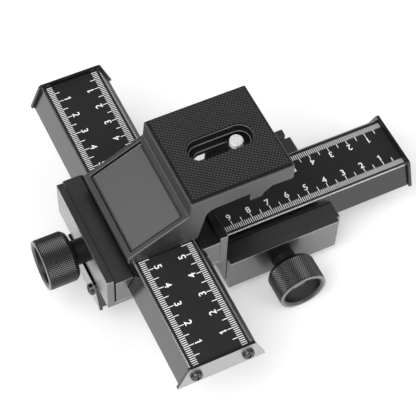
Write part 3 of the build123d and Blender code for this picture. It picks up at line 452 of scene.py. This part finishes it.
def build_materials(finish):
    """Every finish of the rail, by the name of its record slot or of its use."""
    edge_wear_group()
    grain_group()
    worn = tuple(finish.worn)
    metal = {"metallic": 1.0, "variation": 0.1, "bump": 0.1, "cloud": 35.0, "coat": 1.0}
    return {
        "black_metal": surface("anodised block", finish.body, 0.36, **metal),
        "rail_metal": surface("anodised rail", finish.rail, 0.27, coat_roughness=0.15, **metal),
        "lower_rail_shaded_metal": surface("lower rail", finish.lower_rail, 0.27, coat_roughness=0.15, **metal),
        # painted highlight on the upward bevels of the blocks and rails
        "edge_metal": surface("broken edge", finish.bevel, 0.3, **metal),
        # painted shade on the end plates' edges and backs, painted reflection on their outer faces
        "plate_back": surface("plate back", finish.plate_back, 0.34, **metal),
        "plate_face_reflection": surface("bright plate", finish.plate, 0.36, **metal),
        "black_paint": surface("painted casting", finish.paint, 0.42, ior=1.9, worn=worn, wear=0.8,
                               wear_radius=0.0005, bump=0.35, grain=1400.0, cloud=25.0,
                               bump_distance=0.00004),
        # painted highlight on the camera slot's slanting rims
        "worn_edge": surface("worn edge", worn, 0.4, metallic=0.6),
        "matt_black_and_shade": surface("matt black", finish.matt, 0.55, ior=1.35, bump=0.1),
        "black_knurl": surface("knurled metal", finish.knurl, 0.34, metallic=1.0, variation=0.15, groove_shade=0.2),
        "ring_metal": surface("turned ring", finish.ring, 0.34, metallic=1.0, bump=0.1),
        # painted shade on the hollow's wall and painted highlight on its floor
        "cup_metal": surface("turned hollow", finish.cup, 0.35, metallic=1.0, bump=0.1),
        "cup_floor": surface("turned floor", finish.cup_floor, 0.45, metallic=0.2, bump=0.1),
        "scale_strip": surface("scale strip", finish.strip, 0.5, ior=1.45, variation=0.08, bump=0.05),
        "scale_print": surface("scale print", finish.ink, 0.6, variation=0.05, bump=0.05),
        "plaque_grey": surface("plaque grey", finish.plaque, 0.5, variation=0.03, bump=0.06, cloud=20.0),
        "pad_rubber": surface("pad rubber", finish.rubber, 0.68, variation=0.15, bump=0.4, grain=3000.0,
                              bump_distance=0.00004, groove_shade=0.2),
        "bright_steel": surface("bright steel", finish.steel, 0.38, metallic=0.35, variation=0.1, bump=0.5,
                                grain=900.0, bump_distance=0.00008),
        "dark_steel": surface("dark steel", finish.dark_steel, 0.28, metallic=1.0, variation=0.1),
        "bush_brass": surface("bush brass", finish.brass, 0.35, metallic=1.0, variation=0.08),
    }


# ---- operators -------------------------------------------
class RAIL_OT_finishes(bpy.types.Operator):
    """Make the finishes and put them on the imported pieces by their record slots"""
    bl_idname = "focusing_rail.finishes"
    bl_label = "Finishes"

    def execute(self, context):
        MATERIALS.update(build_materials(context.scene.rail_finishes))
        slots = {part["node"]: part["material_slot"] for part in frame["record"]["subparts"]}
        for name, node in NODES.items():
            key = slots[name]
            # painted shade: the lower rail's bar gets the darker copy of the rails' anodising
            if name == "lower_rail_bar":
                key = "lower_rail_shaded_metal"
            elif name.endswith(("rail_bar", "rack")):
                key = "rail_metal"
            elif "end_plate" in name and "screw" not in name:
                key = "plate_face_reflection"
            elif "scale" in name:
                key = "scale_strip"
            elif name.endswith("sleeve"):
                key = "matt_black_and_shade"
            elif key == "bright_steel" and name != "camera_screw":
                key = "dark_steel"
            if key not in MATERIALS:
                raise RuntimeError("no finish for node " + name + ", slot " + key)
            node.data.materials.clear()
            node.data.materials.append(MATERIALS[key])
        return {"FINISHED"}


class RAIL_OT_edges(bpy.types.Operator):
    """Break the edges of the blocks, rails and end plates"""
    bl_idname = "focusing_rail.edges"
    bl_label = "Machined edges"

    def execute(self, context):
        edges = context.scene.rail_edges
        self.block(edges, "base", "base")
        self.block(edges, "upper", "lower_slide")
        self.rail(edges, "lower", "lower_rail_shaded_metal")
        self.rail(edges, "upper", "rail_metal")
        for prefix, ends in (("lower", ("left", "right")), ("upper", ("near", "far"))):
            for end in ends:
                self.end_plate(edges, prefix, end)
        return {"FINISHED"}

    def block(self, edges, prefix, body):
        """A carriage's body and side plates, with a painted highlight on the bevels round their common top.
        """
        parts = [prefix + part for part in ("_carriage_body", "_knob_side_plate", "_guide_side_plate")]
        boxes = [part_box(part) for part in parts]
        low = Vector([min(box[0][side] for box in boxes) for side in range(3)])
        high = Vector([max(box[1][side] for box in boxes) for side in range(3)])

        def at_rim(spot, normal):
            """Whether a new face looks up and is on the block's outline, where it gets a painted highlight.
            """
            reach = min(spot.x - low.x, high.x - spot.x, spot.y - low.y, high.y - spot.y)
            return normal.z > FACING and reach < edges.machined_edge

        for part in parts:
            piece = softened(merged_copy(part), part, edges.machined_edge, edges.shortest_edge, at_rim)
            add_piece(piece, body, "black_metal", [part], ["black_metal", "edge_metal"])

    def rail(self, edges, prefix, metal):
        """A rail's bar, with painted highlights on its top edges and painted shade on the flank away from its
        knob.
        """
        node = prefix + "_rail_bar"
        low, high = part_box(node)
        top = high.z - edges.machined_edge * 1.5
        # painted highlight on the bevels along the rail's top
        piece = softened(merged_copy(node), node, edges.machined_edge, edges.shortest_edge,
                         lambda spot, normal: spot.z > top and normal.z > FACING)
        add_piece(piece, prefix + "_slide", "black_metal", [node], [metal, "edge_metal", "matt_black_and_shade"])
        # painted shade: the flank that looks away from the knob gets the matt black
        away = 0 if high.y - low.y > high.x - low.x else 1
        for face in piece.data.polygons:
            if face.material_index == 0 and face.normal[away] > FACING:
                face.material_index = 2

    def end_plate(self, edges, prefix, end):
        """An end plate with rounded corners, with a painted reflection on its outer face and painted shade on
        its edges and back.
        """
        node = prefix + "_end_plate_" + end
        parallel, shortest = 0.99, 0.3 * MM
        bm = merged_copy(node)
        low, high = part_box(node)
        along = Vector((1, 0, 0)) if high.x - low.x < high.y - low.y else Vector((0, 1, 0))
        corners = [edge for edge in sharp_edges(bm, SHARP_ANGLE, inward=True)
                   if abs((edge.verts[1].co - edge.verts[0].co).normalized().dot(along)) > parallel]
        bevel_edges(bm, corners, edges.plate_corner, 4)
        piece = softened(bm, node, edges.sheet_edge, shortest)
        add_piece(piece, prefix + "_slide", "black_metal", [node], ["plate_face_reflection", "plate_back"])
        rail_low, rail_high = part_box(prefix + "_rail_bar")
        outward = (low + high - rail_low - rail_high).dot(along)
        # painted shade on the faces that do not look outward; the outer faces keep the painted reflection
        for face in piece.data.polygons:
            if face.normal.dot(along) * outward < abs(outward) / 2:
                face.material_index = 1


class RAIL_OT_bracket(bpy.types.Operator):
    """Round the edges of the painted casting and its plaque, paint shade on the slot's and recess's walls and
    paint highlights on the slot's rims
    """
    bl_idname = "focusing_rail.bracket"
    bl_label = "Bracket and plaque"

    def execute(self, context):
        edges = context.scene.rail_edges
        # the second finish here is painted shade, the third a painted highlight on the slot's rims
        matt, worn = 1, 2
        back, front, side_reach, depth = 25 * MM, 8.5 * MM, 6.5 * MM, 9.5 * MM
        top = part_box("camera_bracket")[1].z
        stud_low, stud_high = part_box("camera_screw")
        stud = (stud_low + stud_high) / 2

        def in_slot(spot):
            """Whether a place is in the slot and its recess, round the camera stud."""
            return (-back < spot.x - stud.x < front and abs(spot.y - stud.y) < side_reach
                    and spot.z > top - depth)

        def middle(edge):
            """The point halfway along an edge."""
            return (edge.verts[0].co + edge.verts[1].co) / 2

        bm = merged_copy("camera_bracket")
        rim_angle = radians(60)
        rims = [edge for edge in sharp_edges(bm, rim_angle) if in_slot(middle(edge))]
        bevel_edges(bm, rims, edges.slot_edge, 2)
        bm.normal_update()
        upright, slanted, flat, ledge = 0.1, 0.2, 0.97, top - 0.3 * MM
        for face in bm.faces:
            spot, upward = face.calc_center_median(), face.normal.z
            if in_slot(spot):
                # painted highlight on the slot's slanting rim faces
                if slanted < upward < flat:
                    face.material_index = worn
                # painted shade on the slot's walls and on its ledges below the top
                elif abs(upward) < upright or upward > flat and spot.z < ledge:
                    face.material_index = matt
        low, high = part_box("plaque")
        plaque_middle = (low + high) / 2
        slope = max(NODES["plaque"].data.polygons, key=lambda face: face.area).normal.copy()
        margin, recess = 2 * MM, 3 * MM
        # painted shade on the walls of the plaque's recess
        for face in bm.faces:
            spot = face.calc_center_median()
            offset = spot - plaque_middle
            wall = abs(face.normal.dot(slope)) < FACING and face.normal.dot(offset) < 0
            if wall and abs(offset.dot(slope)) < recess and all(
                    low[side] - margin < spot[side] < high[side] + margin for side in range(3)):
                face.material_index = matt
        outer = [edge for edge in sharp_edges(bm, BROKEN_ANGLE, edges.shortest_edge, inward=True)
                 if not in_slot(middle(edge))]
        bevel_edges(bm, outer, edges.casting_edge, 3)
        add_piece(bevelled_piece(bm, "camera_bracket"), "upper_slide", "black_paint", ["camera_bracket"],
                  ["black_paint", "matt_black_and_shade", "worn_edge"])
        plate = softened(merged_copy("plaque"), "plaque", edges.sheet_edge, edges.shortest_edge)
        add_piece(plate, "upper_slide", "plaque_grey", ["plaque"])
        return {"FINISHED"}


def knurled(knobs, before, radius, start, end, after):
    """Turn a profile whose band between two heights has a diamond knurl.

    The band is a net of points half a pitch apart, and every second one is lowered.
    """
    gaps = max(2, round((end - start) / (knobs.knurl_pitch / 2)))
    heights = [start + (end - start) * row / gaps for row in range(gaps + 1)]
    steps = 2 * round(pi * radius * 2 / knobs.knurl_pitch)
    bm = turned(before + [(radius, height) for height in heights] + after, steps)
    spacing = heights[1] - heights[0]
    share = (radius - knobs.knurl_depth) / radius
    lowered = []
    # the relief set below darkens the knurl's grooves as painted shade
    relief = bm.verts.layers.float.new("relief")
    for vert in bm.verts:
        vert[relief] = 0.5
        row = (vert.co.z - start) / spacing
        if abs(hypot(vert.co.x, vert.co.y) - radius) > NEAR or row < -0.01 or row > gaps + 0.01:
            continue
        column = round(atan2(vert.co.y, vert.co.x) / tau * steps)
        at_end = row < 0.5 or row > gaps - 0.5
        if at_end or (column + round(row)) % 2:
            vert.co.x *= share
            vert.co.y *= share
            vert[relief] = 0.0
            lowered.append(vert)
        else:
            vert[relief] = 1.0
    bmesh.ops.connect_verts(bm, verts=lowered)
    return bm


def lay_on_axis(bm, axis, centre):
    """Turn a shape that stands along Z to point along an axis, and move it to its place."""
    turn = Vector((0, 0, 1)).rotation_difference(axis).to_matrix().to_4x4()
    bmesh.ops.transform(bm, matrix=Matrix.Translation(centre) @ turn, verts=bm.verts)


class RAIL_OT_knobs(bpy.types.Operator):
    """Make the two hollow focusing knobs with their diamond knurl"""
    bl_idname = "focusing_rail.knobs"
    bl_label = "Focusing knobs"

    def execute(self, context):
        knobs = context.scene.rail_knobs
        ring, wall, ground = 1, 2, 3
        for prefix, axis in (("lower", Vector((0, -1, 0))), ("upper", Vector((-1, 0, 0)))):
            node = prefix + "_focus_knob"
            low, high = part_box(node)
            along = 1 if axis.y else 0
            centre = (low + high) / 2
            depth = high[along] - low[along]
            radius = (high.z - low.z) / 2
            back = centre.copy()
            back[along] = high[along]
            lip, rise, plain = knobs.lip, knobs.shoulder_rise, depth - knobs.plain_front
            shoulder, front = radius - knobs.shoulder_inset, radius - knobs.knurl_depth * 0.4
            before = [(0, 0), (knobs.hub_radius - lip, 0), (knobs.hub_radius, lip / 3),
                      (shoulder - lip, rise - lip / 3), (shoulder + lip / 2, rise + lip)]
            corner = (knobs.cup_radius - knobs.cup_round, depth - knobs.cup_depth + knobs.cup_round)
            after = [(front, plain + 0.1 * MM), (front, depth - lip), (front - lip, depth),
                     (knobs.cup_radius + knobs.cup_chamfer, depth),
                     (knobs.cup_radius, depth - knobs.chamfer_depth)]
            after += arc(corner, knobs.cup_round, 0, -90, 6) + [(0, depth - knobs.cup_depth)]
            bm = knurled(knobs, before, radius, knobs.back_length, plain, after)
            lay_on_axis(bm, axis, back)
            piece = finish_mesh(bm, prefix + "_knurled_knob", KNURLED_ANGLE)
            add_piece(piece, prefix + "_drive", "black_knurl", [node],
                      ["black_knurl", "ring_metal", "cup_metal", "cup_floor"])
            # painted highlight on the hollow's floor and painted shade on its wall
            for face in piece.data.polygons:
                away = face.center - centre
                forward = away.dot(axis) + depth / 2
                away[along] = 0
                inside = away.length < knobs.cup_radius + knobs.cup_chamfer * 0.9  # chamfer included
                if inside and forward > depth - knobs.cup_depth - lip:
                    face.material_index = ground if face.normal.dot(axis) > 0.8 else wall
                elif forward > depth - lip * 1.1:
                    face.material_index = ring
        return {"FINISHED"}


class RAIL_OT_camera_screw(bpy.types.Operator):
    """Make the threaded camera stud and its knurled disc"""
    bl_idname = "focusing_rail.camera_screw"
    bl_label = "Camera screw"

    def execute(self, context):
        knobs, stud = context.scene.rail_knobs, context.scene.rail_stud
        low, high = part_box("camera_screw")
        radius = (high.x - low.x) / 2
        centre = Vector(((low.x + high.x) / 2, (low.y + high.y) / 2, 0))
        inner = radius - stud.thread_depth
        crest, groove = radius - 0.05 * MM, inner - 0.15 * MM
        pitch, steps = stud.thread_pitch, 24
        clip_gap, tip = 0.2 * MM, 0.35 * MM
        thread_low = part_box("camera_screw_clip")[1].z + clip_gap
        turns = ceil((high.z - thread_low) / pitch) + 2
        bm = bmesh.new()
        start, crest_start, crest_end = thread_low - pitch, 0.42, 0.58
        flank = [(inner, start), (crest, start + pitch * crest_start),
                 (crest, start + pitch * crest_end), (inner, start + pitch)]
        verts = [bm.verts.new((reach, 0, height)) for reach, height in flank]
        rims = [bm.edges.new(pair) for pair in zip(verts, verts[1:])]
        bmesh.ops.spin(bm, geom=verts + rims, cent=(0, 0, 0), axis=(0, 0, 1), angle=tau * turns,
                       steps=steps * turns, dvec=(0, 0, pitch / steps))
        bmesh.ops.remove_doubles(bm, verts=bm.verts, dist=2 * NEAR)
        cut(bm, (0, 0, thread_low), (0, 0, -1), clear=True)
        cut(bm, (0, 0, high.z - tip), (0, 0, 1), clear=True)
        bmesh.ops.recalc_face_normals(bm, faces=bm.faces)
        # The core: a plain foot, an undercut, the threaded length and a tip with broken edges.
        core = [(0, low.z), (radius, low.z), (radius, thread_low - 1.2 * MM),
                (groove, thread_low - 0.9 * MM), (groove, thread_low - 0.1 * MM),
                (inner + 0.1 * MM, thread_low), (inner + 0.05 * MM, high.z - 0.6 * MM),
                (crest, high.z - 0.45 * MM), (crest, high.z - 0.25 * MM),
                (radius - 0.3 * MM, high.z), (0, high.z - 0.05 * MM)]
        shaft = turned(core, 2 * steps)
        shaft_mesh = bpy.data.meshes.new("stud core")
        shaft.to_mesh(shaft_mesh)
        shaft.free()
        bm.from_mesh(shaft_mesh)
        bmesh.ops.translate(bm, verts=bm.verts, vec=centre)
        piece = finish_mesh(bm, "threaded_stud", CUT_ANGLE)
        add_piece(piece, "screw_turn", "bright_steel", ["camera_screw"])

        low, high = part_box("camera_screw_knob")
        radius, depth, corner = (high.x - low.x) / 2, high.z - low.z, 1.0 * MM
        before = [(0, 0)] + arc((radius - corner, corner), corner, -90, 0, 4)[:-1]
        after = arc((radius - corner, depth - corner), corner, 0, 90, 4)[1:] + [(0, depth)]
        disc = knurled(knobs, before, radius, corner, depth - corner, after)
        bmesh.ops.translate(disc, verts=disc.verts, vec=(centre.x, centre.y, low.z))
        piece = finish_mesh(disc, "knurled_disc", KNURLED_ANGLE)
        add_piece(piece, "screw_turn", "black_knurl", ["camera_screw_knob"])
        return {"FINISHED"}


class RAIL_OT_pad(bpy.types.Operator):
    """Make the rubber pad's slanting rows of short ribs, inside a smooth border"""
    bl_idname = "focusing_rail.pad"
    bl_label = "Ribbed pad"

    def execute(self, context):
        pad = context.scene.rail_pad
        low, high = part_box("platform_pad")
        bm = merged_copy("platform_pad")
        for vert in bm.verts:
            if vert.co.z > high.z - NEAR:
                vert.co.z -= pad.rib_depth
        middle = (low + high) / 2
        lines = ceil((high - low).length / 2 / pad.rib_pitch)
        families = ((Vector((-sin(pad.rib_angle), cos(pad.rib_angle), 0)), pad.rib_share),
                    (Vector((cos(pad.rib_angle), sin(pad.rib_angle), 0)), pad.stud_share))
        for across, share in families:
            for line in range(-lines, lines + 1):
                for place in (line, line + share):
                    cut(bm, middle + across * place * pad.rib_pitch, across)
        border = Vector((1, 1, 0)) * pad.border
        inner_low, inner_high = low + border, high - border
        for corner in (inner_low, inner_high):
            cut(bm, corner, (1, 0, 0))
            cut(bm, corner, (0, 1, 0))
        bm.normal_update()

        def inside(spot):
            """Whether a place is within the smooth border."""
            return inner_low.x < spot.x < inner_high.x and inner_low.y < spot.y < inner_high.y

        def raised(face):
            """Whether a face is the foot of a rib."""
            spot = face.calc_center_median()
            return inside(spot) and face.normal.z > 0.9 and spot.z > low.z + 0.5 * MM and all(
                (spot - middle).dot(across) / pad.rib_pitch % 1 < share for across, share in families)

        # painted shade: the border round the ribs gets the matt black, as the shadow gap round the pad
        for face in bm.faces:
            if not inside(face.calc_center_median()):
                face.material_index = 1
        ribs = [face for face in bm.faces if raised(face)]
        lifted = bmesh.ops.extrude_face_region(bm, geom=ribs)
        tops = [item for item in lifted["geom"] if isinstance(item, bmesh.types.BMVert)]
        bmesh.ops.translate(bm, verts=tops, vec=(0, 0, pad.rib_depth))
        bmesh.ops.delete(bm, geom=ribs, context="FACES")
        # painted shade: the grooves between the ribs get a low relief, which darkens them
        relief = bm.verts.layers.float.new("relief")
        for vert in bm.verts:
            vert[relief] = float(vert.co.z > high.z - pad.rib_depth / 2)
        piece = finish_mesh(bm, "ribbed_pad", CUT_ANGLE)
        add_piece(piece, "upper_slide", "pad_rubber", ["platform_pad"], ["pad_rubber", "matt_black_and_shade"])
        return {"FINISHED"}


def row_frame(zero, inward, scales):
    """Frame of one row, Y inward from its outer end and X the way its numerals read, and that way."""
    reading = inward.cross(Vector((0, 0, 1)))
    turn = Matrix((reading, inward, (0, 0, 1))).transposed().to_4x4()
    return Matrix.Translation(zero - inward * scales.row_reach) @ turn, reading


def print_row(bm, scales, zero, inward, counting, count):
    """Raised ticks and numerals of one row that counts millimetres from zero along a direction."""
    place, reading = row_frame(zero, inward, scales)
    way = round(Vector(counting).dot(reading))
    for number in range(1, count + 1):
        reach = scales.long_tick if number % 5 == 0 else scales.short_tick
        size = Matrix.Diagonal((scales.tick_width, reach, scales.print_height, 1))
        spot = Matrix.Translation((way * number * MM, reach / 2, scales.print_height / 2))
        bmesh.ops.create_cube(bm, size=1.0, matrix=place @ spot @ size)
    for number in range(1, count // 10 + 1):
        spot = Matrix.Translation((way * number * 10 * MM, scales.long_tick + scales.numeral_gap, 0))
        print_numeral(bm, scales, str(number), place @ spot)


def print_numeral(bm, scales, text, place):
    """One raised numeral, its foot at the middle of the given place."""
    curve = bpy.data.curves.new("numeral", "FONT")
    curve.body = text
    curve.extrude = 0.5
    curve.offset = scales.numeral_weight
    letter = link("numeral", curve)
    bpy.context.view_layer.update()
    mesh = bpy.data.meshes.new_from_object(letter.evaluated_get(bpy.context.evaluated_depsgraph_get()))
    bpy.data.objects.remove(letter)
    if text == "1":
        # a slanting stroke at its top
        reach, thin, slant = scales.flag_length, scales.tick_width, radians(38)
        top = Matrix.Translation((0, scales.numeral_height - thin / 2, scales.print_height / 2))
        flag = Matrix.Rotation(slant, 4, "Z") @ Matrix.Translation((-reach / 2, 0, 0))
        bmesh.ops.create_cube(bm, size=1.0, matrix=place @ top @ flag
                              @ Matrix.Diagonal((reach, thin, scales.print_height, 1)))
    across = [vert.co.x for vert in mesh.vertices]
    size = scales.numeral_height / max(vert.co.y for vert in mesh.vertices)
    mesh.transform(Matrix.Translation((-(max(across) + min(across)) / 2, 0, 0.5)))
    mesh.transform(place @ Matrix.Diagonal((size, size, scales.print_height, 1)))
    bm.from_mesh(mesh)
    bpy.data.meshes.remove(mesh)


class RAIL_OT_scales(bpy.types.Operator):
    """Print the ticks and numerals on the rails' scales"""
    bl_idname = "focusing_rail.scales"
    bl_label = "Scale prints"

    def execute(self, context):
        scales = context.scene.rail_scales
        low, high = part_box("lower_rail_bar")
        strip_low, strip_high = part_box("lower_scale")
        zero = Vector(((low.x + high.x) / 2 + scales.zero_reach, -scales.lower_shift, strip_high.z))
        self.print_scale(scales, zero, (0, 1, 0), (-1, 0, 0), zero.x - strip_low.x,
                         "lower_scale_print", "lower_slide")
        low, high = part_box("upper_rail_bar")
        middle = (low + high) / 2
        for name, side in (("near", -1), ("far", 1)):
            strip_low, strip_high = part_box("upper_scale_" + name)
            zero = Vector((middle.x, middle.y + side * scales.zero_reach, strip_high.z))
            inner = strip_high.y if side < 0 else strip_low.y
            self.print_scale(scales, zero, (1, 0, 0), (0, -side, 0), abs(zero.y - inner),
                             "upper_scale_print_" + name, "upper_slide")
        return {"FINISHED"}

    def print_scale(self, scales, zero, across, counting, reach, name, body):
        """The two facing rows of one scale, as one piece that moves with its rail."""
        bm = bmesh.new()
        for inward in (Vector(across), -Vector(across)):
            print_row(bm, scales, zero, inward, counting, int(reach / MM))
        bmesh.ops.recalc_face_normals(bm, faces=bm.faces)
        add_piece(finish_mesh(bm, name), body, "scale_print")


LAMPS = {"key": ((-0.55, -0.25, 0.85), 0.9), "fill": ((0.5, -0.7, 0.75), 0.8)}  # place and diameter
LAMP_TARGET = Vector((-0.01, 0, 0.03))
CAMERA_PLACE = (-0.197503, -0.315255, 0.574822)
CAMERA_TURN = (33.1510, -1.7789, -25.8914)  # degrees


class RAIL_OT_studio(bpy.types.Operator):
    """Set up the pale floor, the sky, the soft lamps and the camera"""
    bl_idname = "focusing_rail.studio"
    bl_label = "Studio"

    def execute(self, context):
        studio = context.scene.rail_studio
        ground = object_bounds()[0].z
        bm = bmesh.new()
        bmesh.ops.create_grid(bm, x_segments=1, y_segments=1, size=studio.floor_size / 2,
                              matrix=Matrix.Translation((0, 0, ground)))
        floor_piece = finish_mesh(bm, "studio_floor")
        floor_piece.data.materials.append(self.floor_material(studio))
        floor_piece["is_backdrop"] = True
        self.world(context, studio)
        self.lamp("key", studio.key_power)
        self.lamp("fill", studio.fill_power)
        camera = bpy.data.cameras.new("camera")
        camera.sensor_width = 36.0
        camera.lens = studio.focal_length
        camera.clip_start = 0.01
        camera.clip_end = 20.0
        viewer = link("camera", camera)
        viewer.location = CAMERA_PLACE
        viewer.rotation_euler = Euler([radians(angle) for angle in CAMERA_TURN], "XYZ")
        context.scene.camera = viewer
        context.scene.view_settings.view_transform = "Standard"
        return {"FINISHED"}

    def lamp(self, name, power):
        """A soft round lamp that points at the rail."""
        place, size = LAMPS[name]
        data = bpy.data.lights.new(name + "_lamp", "AREA")
        data.shape = "DISK"
        data.size = size
        data.energy = power
        lamp = link(name + "_lamp", data)
        lamp.location = place
        lamp.rotation_euler = (LAMP_TARGET - lamp.location).to_track_quat("-Z", "Y").to_euler()

    def floor_material(self, studio):
        """A pale floor that keeps its shadow, and glows a little where it is seen or mirrored."""
        material = bpy.data.materials.new("pale floor")
        material.use_nodes = True
        tree = material.node_tree
        shader = tree.nodes["Principled BSDF"]
        shader.inputs["Roughness"].default_value = 0.9
        shader.inputs["Specular IOR Level"].default_value = 0.1
        place = add_node(tree, "ShaderNodeTexCoord")
        noise = add_node(tree, "ShaderNodeTexNoise", {"Scale": 6.0}, {"Vector": place.outputs["Object"]})
        tone = clouded(tree, studio.floor_colour, 0.01, noise.outputs["Fac"])
        tree.links.new(tone, shader.inputs["Base Color"])
        path = add_node(tree, "ShaderNodeLightPath")
        seen = add_node(tree, "ShaderNodeMath", operation="MAXIMUM",
                        links={0: path.outputs["Is Camera Ray"], 1: path.outputs["Is Glossy Ray"]})
        glow = add_node(tree, "ShaderNodeMath", {1: studio.floor_glow}, {0: seen.outputs[0]},
                        operation="MULTIPLY")
        shader.inputs["Emission Color"].default_value = (1, 1, 1, 1)
        tree.links.new(glow.outputs[0], shader.inputs["Emission Strength"])
        return material

    def world(self, context, studio):
        """Even light, seen as plain white, and mirrored as a sky that is darker overhead."""
        world = context.scene.world or bpy.data.worlds.new("studio")
        context.scene.world = world
        world.use_nodes = True
        tree = world.node_tree
        tree.nodes.clear()
        output = tree.nodes.new("ShaderNodeOutputWorld")
        place = add_node(tree, "ShaderNodeTexCoord")
        parts = add_node(tree, "ShaderNodeSeparateXYZ", links={0: place.outputs["Generated"]})
        mirrored = ranged(tree, parts.outputs["Z"], 0.0, 0.4, studio.mirrored_edge, studio.mirrored_top)
        path = add_node(tree, "ShaderNodeLightPath")
        strength = add_node(tree, "ShaderNodeMix", {VALUE_A: studio.sky},
                            {0: path.outputs["Is Glossy Ray"], VALUE_B: mirrored})
        even = add_node(tree, "ShaderNodeBackground", {"Color": (1, 1, 1, 1)},
                        {"Strength": strength.outputs[0]})
        white = add_node(tree, "ShaderNodeBackground", {"Color": (1, 1, 1, 1), "Strength": 1.0})
        mix = add_node(tree, "ShaderNodeMixShader", links={0: path.outputs["Is Camera Ray"],
                       1: even.outputs[0], 2: white.outputs[0]})
        tree.links.new(mix.outputs[0], output.inputs["Surface"])


STEPS = (RAIL_OT_finishes, RAIL_OT_edges, RAIL_OT_bracket, RAIL_OT_knobs, RAIL_OT_camera_screw,
         RAIL_OT_pad, RAIL_OT_scales, RAIL_OT_studio)


class RAIL_PT_panel(bpy.types.Panel):
    """Steps and settings of the focusing rail's finish"""
    bl_idname = "RAIL_PT_panel"
    bl_label = "Focusing rail"
    bl_space_type = "VIEW_3D"
    bl_region_type = "UI"
    bl_category = "Focusing Rail"

    def draw(self, context):
        column = self.layout.column(align=True)
        for step in STEPS:
            column.operator(step.bl_idname)
        for name, group in SETTINGS:
            box = self.layout.box()
            settings = getattr(context.scene, name)
            for label in group.__annotations__:
                box.prop(settings, label)


CLASSES = tuple(group for name, group in SETTINGS) + STEPS + (RAIL_PT_panel,)


def register():
    """Add the settings, the steps and the panel."""
    for item in CLASSES:
        bpy.utils.register_class(item)
    for name, group in SETTINGS:
        setattr(bpy.types.Scene, name, PointerProperty(type=group))


def unregister():
    """Take them away again."""
    for name, group in reversed(SETTINGS):
        delattr(bpy.types.Scene, name)
    for item in reversed(CLASSES):
        bpy.utils.unregister_class(item)


def main():
    """Make everything in order."""
    register()
    for step in STEPS:
        category, name = step.bl_idname.split(".")
        getattr(getattr(bpy.ops, category), name)()
    bpy.context.view_layer.update()


if __name__ == "__main__":
    main()
